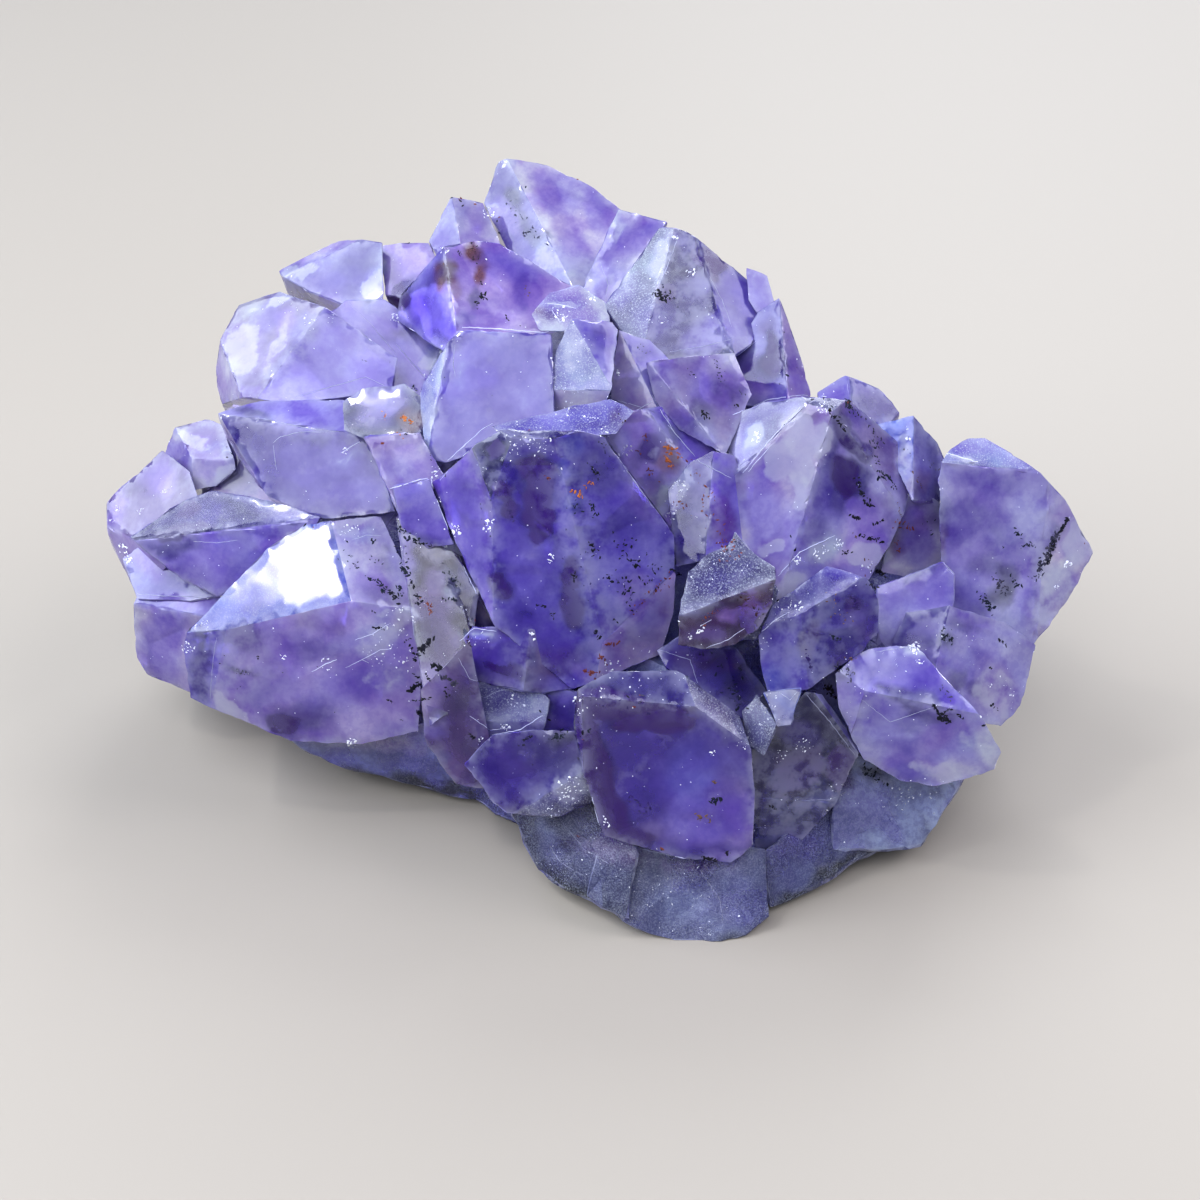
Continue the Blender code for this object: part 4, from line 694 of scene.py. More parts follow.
    (822, 500, 10, 40, 8, "vi", 0.6), (850, 525, 24, 12, 0, "lv", 0.5), (815, 535, 14, 12, 0, "dv", 0.4),
    (868, 520, 16, 20, 0, "pk", 0.5), (850, 555, 34, 12, -5, "pk+", 0.7), (868, 562, 22, 8, 8, "sh+", 0.9),
    (822, 548, 18, 10, -20, "sh+", 0.8), (800, 575, 24, 14, -25, "lv", 0.5), (890, 520, 8, 30, 0, "br", 0.4),
    (862, 412, 16, 12, 20, "vi", 0.6), (870, 440, 14, 14, 0, "br", 0.4), (888, 460, 14, 22, 0, "br", 0.35),
    (893, 490, 12, 16, 0, "lv", 0.5), (845, 420, 8, 16, -30, "dk", 0.6), (905, 455, 6, 20, 0, "sh", 0.5),
    # R2 to R4
    (893, 430, 16, 12, 20, "bl", 0.6), (905, 448, 8, 20, 0, "sh", 0.6), (932, 455, 10, 26, 0, "dv-", 0.5),
    (925, 490, 14, 16, 0, "gy", 0.6), (917, 480, 9, 10, 0, "ru", 0.75), (935, 510, 18, 24, 0, "gy", 0.75),
    (905, 525, 12, 12, 0, "ru", 0.7), (897, 548, 8, 16, 0, "ru", 0.5), (915, 550, 22, 20, 0, "vi", 0.6),
    (925, 572, 20, 10, -30, "pk-", 0.5), (942, 540, 6, 20, 0, "ru-", 0.5), (890, 400, 14, 10, 20, "br", 0.4),
    (835, 392, 16, 10, 0, "pk", 0.4), (862, 388, 14, 8, 0, "pl", 0.4),
    # R5 to R7
    (970, 444, 26, 8, 0, "pl", 0.7), (965, 457, 24, 4, 10, "sh+", 0.9), (945, 470, 10, 12, 0, "pl", 0.5),
    (990, 480, 40, 14, 5, "vi", 0.5), (960, 520, 24, 22, 20, "vi", 0.5), (1000, 530, 20, 26, -20, "vi", 0.45),
    (1030, 500, 20, 24, 30, "pl", 0.4), (985, 565, 14, 12, 0, "dv", 0.4), (965, 590, 20, 20, 0, "lv", 0.4),
    (960, 572, 26, 6, 10, "pl", 0.5), (1005, 580, 14, 16, 30, "gy", 0.75), (985, 600, 9, 16, 10, "gn", 0.5),
    (1047, 545, 12, 22, 22, "gy", 0.95), (1040, 566, 8, 10, 0, "gn", 0.6), (1050, 530, 9, 8, 0, "br", 0.6),
    (1025, 545, 14, 10, 0, "gy", 0.4), (1075, 530, 10, 18, -30, "pl", 0.5), (1080, 552, 14, 12, 0, "sh", 0.6),
    (1060, 585, 16, 24, 30, "sh", 0.6), (1030, 610, 24, 16, 40, "lv", 0.4), (1000, 630, 30, 14, 0, "pl", 0.4),
    (1035, 600, 10, 16, 0, "vi", 0.35), (940, 580, 24, 14, 0, "pl", 0.6), (915, 600, 24, 8, 0, "lv", 0.4),
    (890, 620, 10, 24, 0, "pl", 0.6), (925, 630, 24, 14, -10, "vi", 0.6), (910, 640, 20, 8, 0, "dv", 0.6),
    (948, 637, 10, 8, 0, "gy", 0.6), (965, 625, 20, 6, 10, "dv", 0.4), (975, 665, 20, 16, 30, "vi", 0.4),
    (975, 690, 14, 10, 40, "dv", 0.6), (955, 685, 9, 20, 0, "gy", 0.5), (945, 660, 6, 14, 0, "pl", 0.5),
    (1000, 680, 16, 24, 0, "lv", 0.5), (1010, 700, 14, 14, 0, "pl", 0.5),
    # R8
    (900, 665, 36, 14, 0, "pl", 0.5), (916, 650, 12, 9, 0, "sh+", 0.9), (845, 668, 12, 16, 30, "gy", 0.5),
    (828, 690, 10, 20, 0, "gy", 0.6), (860, 690, 10, 16, 0, "lv", 0.4), (890, 692, 26, 4, 12, "dv", 0.95),
    (908, 706, 20, 5, 30, "dv", 1.0), (925, 690, 20, 8, 10, "vi", 0.4), (880, 715, 24, 14, 0, "lv", 0.4),
    (880, 742, 14, 8, 20, "vi", 0.5), (905, 745, 24, 12, 0, "vi", 0.35), (930, 740, 14, 20, 30, "pk", 0.45),
    (950, 735, 24, 8, -30, "pk", 0.5), (975, 745, 20, 16, 0, "sh", 0.6), (965, 765, 34, 8, 8, "pl", 0.6),
    (880, 768, 24, 5, 20, "pk", 0.6), (940, 718, 20, 8, 0, "gy", 0.5),
    (945, 772, 40, 12, 5, "wh", 0.7), (880, 755, 30, 14, 20, "pl+", 0.6), (985, 745, 16, 26, 0, "wh", 0.6),
    (1010, 690, 20, 40, 20, "pl", 0.6), (1050, 600, 16, 40, 30, "wh", 0.6), (1078, 540, 12, 30, -10, "wh", 0.8),
    (965, 600, 30, 20, 0, "pl", 0.6), (760, 490, 14, 40, 5, "pl", 0.6), (775, 545, 30, 30, 0, "pl", 0.5),
    (860, 530, 26, 20, 0, "pk+", 0.5), (1040, 500, 20, 40, 20, "pl", 0.5),
    # once more over all: where it is still too pale
    (610, 703, 48, 13, 2, "dk", 1.0), (590, 745, 12, 26, -8, "dk", 0.8), (770, 358, 16, 26, 0, "dv", 0.75), (690, 240, 26, 10, 20, "vi-", 0.7),
    (655, 320, 22, 30, -10, "vi-", 0.6), (700, 300, 12, 16, 0, "dv", 0.6), (440, 335, 10, 10, 0, "vi-", 0.8), (432, 300, 8, 20, 0, "vi-", 0.5),
    (705, 520, 12, 24, 0, "dv", 0.6), (668, 432, 14, 10, 20, "dv", 0.7), (538, 492, 15, 40, 0, "dk", 0.95), (532, 468, 24, 12, 4, "dk", 1.0),
    (541, 517, 17, 13, 0, "dk", 1.0), (500, 440, 14, 8, 0, "dv", 0.7), (600, 425, 26, 6, 0, "vi-", 0.6), (190, 510, 26, 12, -22, "dv", 0.7),
    (210, 520, 30, 8, -12, "vi-", 0.5), (300, 432, 40, 6, 0, "vi", 0.5), (920, 572, 26, 6, -25, "vi", 0.6), (1000, 592, 14, 16, 20, "gn", 0.6),
    (915, 697, 26, 7, 18, "dv", 0.8), (800, 770, 30, 26, 0, "dk", 0.5), (845, 765, 12, 20, 0, "dk", 0.7), (600, 862, 40, 16, 20, "bs--", 0.7),
    (780, 712, 14, 12, 0, "bl-", 0.6), (300, 270, 20, 10, -25, "pl-", 0.7), (435, 620, 14, 34, 0, "br-", 0.6), (815, 655, 20, 16, 0, "dv", 0.4),
    (240, 590, 26, 10, -30, "mi-", 0.6), (700, 610, 30, 8, -18, "gs--", 0.5), (560, 775, 20, 20, 0, "vi-", 0.4), (890, 660, 30, 10, 10, "vi", 0.35),
    # and where it is still too dark: partly paler colour, partly painted light on clefts and faces that lie in shade
    (232, 475, 20, 16, 0, "wh", 0.9), (620, 380, 12, 30, 5, "pl++", 1.0), (402, 560, 14, 30, 0, "pl+", 0.7), (445, 465, 12, 8, -30, "sh+", 0.8),
    (665, 500, 9, 16, 20, "sh+", 0.9), (655, 452, 10, 10, 0, "sh", 0.5), (700, 440, 12, 12, 0, "lv+", 0.6), (822, 440, 14, 26, 5, "wh", 0.9),
    (770, 515, 24, 34, -10, "pl+", 0.6), (878, 562, 24, 10, 0, "wh", 1.0), (788, 585, 20, 8, -40, "wh", 0.8), (915, 488, 20, 24, 0, "pl", 0.6),
    (925, 525, 20, 16, 0, "pk-", 0.5), (1030, 545, 24, 34, 20, "pl", 0.5), (635, 590, 30, 50, -20, "lv", 0.4), (625, 655, 26, 9, -8, "pk+", 0.7),
    (565, 690, 22, 12, 0, "lv", 0.5), (830, 682, 16, 14, 0, "pl+", 0.6), (882, 632, 14, 18, 0, "pl+", 0.6), (230, 722, 60, 9, 26, "pl+", 0.7),
    (370, 748, 70, 7, 0, "pl+", 0.7), (430, 730, 26, 9, -20, "pl", 0.6), (165, 650, 18, 34, 0, "lv+", 0.6), (205, 580, 28, 12, 20, "pl+", 0.6),
    (280, 535, 30, 8, -10, "pl+", 0.6), (700, 815, 44, 26, 10, "lv+", 0.5), (575, 245, 16, 26, 0, "pl++", 0.7), (505, 220, 22, 14, 30, "pl+", 0.6),
    (425, 260, 14, 14, 0, "pk+", 0.6), (630, 240, 14, 20, 10, "pl+", 0.7), (510, 262, 40, 12, 12, "lv+", 0.5), (480, 610, 10, 14, 0, "pk", 0.6),
    (510, 715, 24, 6, -8, "sh", 0.5), (530, 170, 30, 10, 10, "pl++", 0.6), (615, 210, 12, 20, 20, "pl++", 0.6), (720, 330, 24, 16, 0, "pl", 0.5),
    (370, 345, 26, 16, 0, "pl+", 0.5), (645, 655, 16, 8, -20, "pk+", 0.6), (545, 415, 30, 8, 0, "lv+", 0.4), (215, 700, 10, 24, 0, "lv", 0.5),
    (250, 727, 26, 9, 60, "pl++", 0.7), (360, 744, 60, 8, 2, "pl++", 0.7), (870, 556, 26, 12, 0, "wh+", 1.0), (640, 598, 18, 26, -15, "pk", 0.6),
    (905, 505, 26, 18, 0, "pk", 0.7), (830, 680, 14, 12, 0, "wh", 0.7), (698, 832, 40, 16, 6, "lv+", 0.6), (785, 592, 16, 8, -35, "wh+", 0.9),
    (915, 800, 34, 14, -10, "bp++", 0.9), (390, 515, 30, 8, 5, "pl+", 0.7),
    (232, 712, 30, 10, 38, "wh", 0.9), (702, 515, 9, 26, 0, "dv", 0.7), (930, 655, 14, 12, 0, "pl+", 0.6), (455, 552, 12, 14, 0, "pk", 0.6),
    (732, 450, 8, 40, 5, "pl+", 0.6), (750, 345, 18, 14, 0, "pl", 0.6), (545, 340, 16, 8, 0, "pl+", 0.6), (170, 625, 16, 34, 0, "pl", 0.6),
    (1000, 690, 18, 30, 0, "wh", 0.6), (820, 690, 12, 20, 0, "pl+", 0.6), (690, 780, 40, 26, 0, "lv", 0.5), (740, 830, 18, 26, 0, "pk", 0.6),
    (800, 545, 26, 12, -20, "pl+", 0.5), (905, 515, 12, 30, 0, "pl", 0.6), (725, 618, 9, 7, -18, "pk++", 0.9),
    # last touches: paler, partly colour, partly painted light on places in shade
    (725, 365, 16, 16, 0, "pl++", 0.8), (755, 395, 14, 10, 0, "pl++", 0.8), (770, 548, 20, 8, -20, "wh", 0.9), (485, 610, 9, 14, 0, "pk++", 0.8),
    (405, 620, 14, 12, 0, "wh", 0.7), (165, 650, 18, 30, 0, "pl+", 0.7), (330, 525, 75, 6, -16, "wh+", 0.8), (905, 780, 34, 12, -8, "bp+++", 0.9),
    (740, 815, 18, 20, 0, "lv++", 0.7), (1035, 560, 16, 30, 15, "pl+", 0.6), (990, 690, 20, 30, 0, "wh+", 0.6), (560, 690, 16, 12, 0, "lv+", 0.6),
    # last touches: deeper
    (772, 355, 12, 24, 0, "dk", 0.7), (190, 510, 24, 12, -20, "dv", 0.6), (280, 510, 30, 6, 5, "vi-", 0.6), (440, 335, 12, 10, 0, "vi--", 0.8),
    (618, 703, 40, 10, 2, "dk", 1.0), (440, 640, 12, 30, 0, "br--", 0.8), (300, 268, 16, 8, -20, "lv--", 0.6), (310, 330, 12, 16, 0, "lv--", 0.5),
    (280, 372, 12, 12, 0, "lv--", 0.5), (290, 432, 40, 6, 6, "vi--", 0.6), (770, 412, 30, 8, -30, "vi-", 0.7), (910, 575, 22, 6, -20, "vi--", 0.6),
    (840, 582, 20, 8, 0, "dv", 0.6), (820, 650, 18, 14, 0, "dv", 0.5), (910, 720, 18, 12, 0, "vi-", 0.5), (880, 670, 20, 14, 0, "vi-", 0.5),
    (780, 712, 14, 12, 0, "vi---", 0.7),
    # base
    (905, 792, 40, 12, -10, "bp+", 0.9), (870, 772, 14, 8, 20, "gn", 0.85), (890, 785, 10, 6, 20, "yl", 0.4), (905, 798, 20, 14, 0, "bp", 0.7),
    (900, 825, 24, 20, 0, "bp", 0.7), (925, 830, 10, 14, 0, "gy", 0.5), (935, 790, 10, 14, 20, "gy", 0.5),
    (845, 830, 40, 20, -10, "bs", 0.5), (830, 800, 30, 6, -8, "bp", 0.5), (800, 845, 26, 18, -20, "vi-", 0.4),
    (700, 866, 14, 6, 20, "dk", 0.9), (725, 860, 20, 5, 0, "pk", 0.4), (680, 865, 30, 8, 10, "br", 0.5),
    (610, 850, 40, 14, 12, "br", 0.5), (580, 830, 20, 20, 30, "gy", 0.5), (690, 905, 44, 20, 0, "bp", 0.45),
    (740, 900, 30, 24, 30, "bs", 0.6), (550, 840, 8, 34, -30, "bp", 0.4), (600, 880, 50, 16, 30, "bs-", 0.4),
    (650, 930, 40, 10, 10, "bs-", 0.5), (730, 925, 24, 10, -20, "bp", 0.5), (790, 870, 30, 14, -30, "bs", 0.4),
    (350, 752, 50, 9, 8, "bp", 0.5), (420, 765, 50, 8, 10, "bs", 0.5), (290, 755, 30, 6, 20, "gy", 0.4),
    (355, 771, 34, 4, 6, "gn", 0.85), (440, 788, 50, 8, 12, "gn", 0.95), (400, 778, 30, 5, 8, "gn", 0.7),
    (568, 887, 30, 6, 28, "gn", 0.9), (610, 912, 30, 4, 28, "gn", 0.6), (650, 936, 40, 4, 12, "gn", 0.5),
    (790, 898, 30, 8, -32, "gn", 0.95), (830, 868, 30, 6, -24, "gn", 0.9), (740, 935, 24, 5, -20, "gn", 0.7),
    (865, 855, 24, 5, -12, "gn", 0.6), (930, 835, 8, 12, -50, "gn", 0.5),
]
# flakes shut in just under the faces: x, y, to x, y, spread (pixels), count,
# smallest and largest size (pixels), kind
FLAKES = [
    (365, 361, 365, 361, 2, 4, 2, 4, "moss"), (411, 391, 415, 387, 2, 5, 3, 5, "moss"),
    (429, 452, 433, 462, 1, 4, 2, 3, "black"), (398, 526, 418, 543, 3, 26, 3, 6, "moss"),
    (416, 541, 434, 547, 2, 14, 2, 5, "black"), (372, 541, 374, 542, 2, 7, 4, 7, "moss"),
    (346, 541, 348, 542, 1, 3, 3, 4, "moss"), (458, 252, 464, 256, 2, 6, 2, 4, "black"),
    (473, 243, 479, 262, 3, 16, 2, 5, "black"), (480, 278, 482, 286, 1, 6, 2, 4, "black"),
    (484, 292, 482, 300, 3, 14, 3, 6, "black"), (476, 300, 478, 310, 2, 8, 2, 4, "black"),
    (443, 262, 446, 270, 2, 4, 2, 3, "brown"), (503, 313, 509, 321, 1, 6, 2, 4, "black"),
    (520, 326, 521, 327, 1, 1, 2, 3, "black"), (383, 411, 388, 422, 3, 6, 2, 4, "amber"),
    (404, 416, 412, 424, 3, 14, 3, 6, "amber"), (394, 431, 402, 436, 2, 6, 2, 4, "amber"),
    (398, 428, 416, 437, 3, 8, 2, 3, "black"), (512, 202, 522, 222, 6, 14, 2, 4, "smoke"),
    (524, 225, 545, 242, 6, 18, 2, 5, "smoke"), (656, 293, 668, 300, 3, 24, 3, 7, "black"),
    (664, 285, 676, 306, 5, 12, 2, 4, "black"), (629, 300, 631, 304, 1, 4, 2, 4, "smoke"),
    (524, 282, 528, 298, 2, 6, 2, 3, "brown"), (688, 368, 692, 376, 2, 6, 2, 4, "black"),
    (702, 410, 708, 420, 3, 16, 3, 6, "black"), (735, 403, 738, 408, 2, 5, 3, 4, "black"),
    (733, 390, 744, 394, 2, 4, 2, 3, "smoke"), (714, 356, 724, 384, 4, 16, 2, 4, "moss"),
    (638, 346, 646, 352, 3, 8, 2, 4, "smoke"), (786, 330, 798, 372, 3, 12, 2, 3, "smoke"),
    (592, 464, 598, 478, 3, 18, 2, 5, "black"), (588, 500, 596, 516, 3, 20, 2, 5, "moss"),
    (568, 502, 582, 510, 4, 10, 2, 4, "moss"), (572, 490, 584, 498, 2, 12, 3, 6, "amber"),
    (584, 486, 592, 482, 2, 8, 3, 6, "amber"), (545, 474, 552, 484, 2, 6, 2, 4, "rust"),
    (586, 544, 600, 558, 6, 12, 3, 6, "black"), (608, 536, 636, 542, 6, 12, 3, 6, "black"),
    (620, 552, 640, 566, 5, 20, 3, 6, "black"), (644, 550, 658, 570, 5, 10, 3, 6, "black"),
    (606, 574, 650, 582, 6, 18, 2, 6, "black"), (616, 582, 634, 600, 5, 20, 2, 5, "moss"),
    (626, 600, 634, 612, 3, 8, 2, 5, "black"), (650, 580, 660, 592, 3, 6, 2, 4, "black"),
    (596, 632, 600, 638, 2, 7, 4, 7, "black"), (613, 619, 617, 621, 1, 3, 3, 5, "black"),
    (572, 572, 576, 582, 2, 8, 3, 5, "black"), (536, 606, 546, 606, 1, 7, 3, 5, "black"),
    (547, 612, 556, 618, 2, 7, 3, 5, "black"), (604, 645, 622, 644, 2, 12, 3, 6, "rust"),
    (598, 654, 608, 664, 2, 10, 3, 5, "rust"), (584, 670, 600, 676, 3, 16, 3, 6, "rust"),
    (672, 574, 634, 612, 5, 30, 2, 5, "rust"), (672, 569, 680, 575, 1, 12, 3, 5, "black"),
    (505, 484, 516, 528, 5, 18, 2, 4, "violet"), (476, 500, 494, 540, 3, 6, 2, 3, "black"),
    (402, 565, 410, 577, 4, 12, 3, 6, "moss"), (396, 586, 404, 596, 3, 10, 3, 6, "moss"),
    (412, 580, 420, 606, 3, 22, 3, 6, "black"), (424, 598, 432, 614, 3, 14, 3, 5, "rust"),
    (444, 568, 458, 584, 5, 16, 2, 5, "moss"), (440, 598, 460, 600, 2, 8, 2, 5, "moss"),
    (420, 652, 432, 636, 3, 26, 4, 8, "black"), (410, 644, 414, 654, 1, 8, 3, 5, "black"),
    (412, 664, 420, 652, 2, 12, 3, 6, "black"), (433, 665, 442, 669, 2, 16, 4, 8, "black"),
    (426, 674, 430, 682, 1, 8, 3, 5, "black"), (408, 692, 418, 684, 3, 18, 4, 8, "black"),
    (444, 677, 456, 685, 3, 22, 4, 8, "smoke"), (446, 688, 448, 696, 2, 8, 3, 5, "black"),
    (412, 702, 430, 698, 1, 9, 3, 5, "black"), (416, 710, 420, 714, 1, 8, 4, 6, "black"),
    (388, 699, 394, 703, 1, 5, 3, 4, "black"), (404, 642, 412, 637, 1, 7, 2, 4, "black"),
    (400, 720, 404, 722, 1, 2, 2, 3, "black"), (412, 674, 418, 678, 1, 5, 2, 4, "black"),
    (368, 627, 388, 630, 1, 10, 2, 5, "black"), (372, 611, 378, 613, 1, 4, 2, 3, "black"),
    (257, 656, 259, 658, 1, 3, 3, 4, "black"), (234, 672, 248, 672, 2, 8, 2, 4, "smoke"),
    (366, 577, 378, 582, 2, 12, 3, 6, "moss"), (378, 582, 386, 592, 3, 18, 4, 7, "moss"),
    (386, 590, 400, 600, 3, 20, 3, 6, "black"), (354, 565, 358, 568, 1, 5, 3, 5, "moss"),
    (372, 558, 384, 566, 3, 8, 2, 4, "moss"), (402, 566, 406, 572, 2, 10, 4, 7, "moss"),
    (395, 545, 410, 560, 5, 10, 2, 4, "moss"), (340, 545, 360, 575, 8, 10, 2, 3, "moss"),
    (662, 444, 672, 452, 3, 16, 3, 6, "amber"), (666, 456, 672, 470, 3, 14, 3, 6, "amber"),
    (676, 450, 682, 462, 2, 8, 3, 5, "amber"), (643, 434, 648, 442, 2, 6, 2, 4, "rust"),
    (636, 450, 640, 454, 1, 4, 2, 4, "rust"), (648, 470, 664, 484, 3, 8, 2, 4, "rust"),
    (690, 460, 712, 500, 6, 16, 2, 4, "rust"), (668, 500, 690, 508, 3, 8, 2, 4, "rust"),
    (700, 505, 736, 560, 8, 34, 2, 5, "rust"), (716, 540, 740, 552, 4, 12, 3, 5, "rust"),
    (808, 400, 824, 398, 1, 8, 3, 5, "black"), (830, 410, 846, 432, 1, 26, 3, 6, "black"),
    (846, 402, 856, 414, 3, 22, 3, 7, "moss"), (858, 412, 884, 444, 2, 16, 2, 5, "black"),
    (868, 434, 880, 448, 4, 14, 2, 5, "moss"), (874, 456, 882, 470, 3, 12, 2, 5, "moss"),
    (880, 474, 892, 480, 3, 18, 3, 7, "moss"), (892, 484, 900, 492, 2, 10, 2, 5, "black"),
    (896, 440, 910, 456, 3, 6, 2, 3, "black"), (856, 478, 860, 488, 2, 10, 3, 5, "black"),
    (858, 488, 868, 500, 2, 16, 3, 6, "black"), (864, 500, 872, 508, 2, 14, 3, 6, "black"),
    (850, 516, 862, 520, 2, 12, 3, 6, "black"), (870, 526, 884, 520, 1, 9, 3, 5, "black"),
    (862, 536, 884, 542, 2, 18, 3, 6, "black"), (842, 554, 850, 550, 2, 10, 3, 5, "black"),
    (878, 571, 886, 576, 2, 14, 4, 7, "black"), (852, 532, 860, 540, 2, 6, 2, 4, "brown"),
    (896, 500, 904, 528, 2, 12, 2, 4, "brown"), (898, 520, 912, 532, 5, 14, 2, 5, "rust"),
    (894, 536, 900, 556, 2, 10, 2, 4, "rust"), (914, 474, 922, 488, 2, 8, 2, 5, "brown"),
    (925, 520, 934, 534, 5, 8, 2, 4, "moss"), (928, 460, 938, 470, 3, 8, 2, 5, "smoke"),
    (1013, 528, 1022, 538, 2, 12, 2, 5, "moss"), (1018, 544, 1036, 548, 3, 14, 2, 5, "moss"),
    (1002, 546, 1004, 548, 1, 3, 2, 4, "moss"), (1010, 576, 1020, 588, 3, 14, 2, 5, "moss"),
    (996, 576, 1006, 594, 4, 28, 3, 6, "smoke"), (980, 594, 992, 612, 4, 30, 2, 6, "moss"),
    (1028, 576, 1036, 580, 1, 4, 2, 4, "moss"), (1072, 512, 1060, 532, 1, 44, 4, 7, "black"),
    (1058, 532, 1050, 552, 3, 40, 3, 7, "smoke"), (1054, 540, 1048, 562, 2, 26, 3, 7, "black"),
    (1046, 556, 1036, 576, 4, 34, 3, 6, "smoke"), (1040, 562, 1042, 568, 2, 10, 3, 6, "moss"),
    (942, 630, 952, 642, 4, 26, 3, 6, "moss"), (998, 638, 1006, 646, 1, 12, 3, 5, "black"),
    (988, 666, 992, 668, 1, 3, 2, 4, "black"), (992, 704, 998, 710, 2, 7, 3, 5, "black"),
    (984, 726, 998, 724, 2, 14, 3, 6, "black"), (932, 704, 940, 716, 1, 12, 3, 6, "black"),
    (940, 716, 950, 722, 3, 26, 4, 8, "black"), (944, 712, 954, 708, 1, 8, 3, 5, "black"),
    (956, 713, 962, 718, 2, 7, 3, 5, "black"), (944, 684, 950, 700, 4, 12, 2, 4, "smoke"),
    (824, 684, 834, 696, 3, 34, 3, 6, "rustblack"), (836, 664, 852, 676, 4, 22, 3, 6, "smoke"),
    (846, 656, 858, 662, 2, 8, 2, 4, "brown"), (852, 598, 858, 608, 3, 18, 3, 6, "violet"),
    (830, 634, 838, 642, 3, 10, 3, 5, "moss"), (806, 650, 812, 672, 1, 16, 3, 6, "violet"),
    (826, 600, 852, 625, 8, 16, 2, 4, "brown"), (864, 556, 874, 566, 3, 6, 2, 4, "brown"),
    (868, 584, 876, 588, 2, 9, 3, 5, "black"), (700, 628, 720, 606, 3, 10, 2, 4, "rust"),
    (740, 596, 762, 616, 4, 14, 2, 5, "rustblack"), (690, 655, 740, 672, 8, 24, 2, 5, "moss"),
    (720, 680, 744, 706, 6, 22, 3, 6, "moss"), (712, 778, 716, 784, 2, 8, 2, 5, "brown"),
    (712, 800, 722, 800, 3, 22, 3, 7, "moss"), (696, 814, 702, 818, 2, 10, 3, 6, "brown"),
    (706, 815, 710, 822, 1, 8, 3, 5, "brown"), (724, 852, 731, 854, 1, 9, 3, 5, "black"),
    (702, 857, 720, 863, 2, 20, 3, 6, "black"), (770, 806, 776, 810, 1, 8, 3, 6, "black"),
    (784, 790, 788, 806, 1, 4, 2, 3, "black"), (576, 700, 580, 730, 2, 6, 2, 3, "black"),
    (470, 734, 474, 738, 1, 8, 3, 6, "black"), (518, 746, 530, 736, 2, 14, 3, 5, "black"),
    (550, 738, 566, 734, 4, 26, 3, 6, "moss"), (532, 764, 534, 766, 1, 2, 2, 3, "black"),
    (466, 636, 470, 646, 2, 8, 2, 5, "rustblack"), (576, 834, 580, 840, 1, 3, 2, 3, "rust"),
    (600, 738, 612, 760, 6, 8, 2, 3, "violet"), (628, 800, 650, 812, 5, 18, 2, 6, "violet"),
    (590, 700, 660, 712, 5, 10, 2, 4, "violet"), (865, 768, 886, 784, 4, 26, 3, 6, "moss"),
    (840, 740, 850, 752, 4, 8, 2, 4, "smoke"), (600, 440, 612, 470, 5, 10, 2, 3, "black"),
    (618, 412, 626, 422, 4, 6, 2, 4, "rustblack"), (555, 540, 600, 600, 18, 16, 2, 3, "violet"),
    (360, 380, 500, 400, 20, 6, 1.5, 2.5, "black"), (210, 660, 340, 700, 20, 8, 1.5, 2.5, "black"),
]
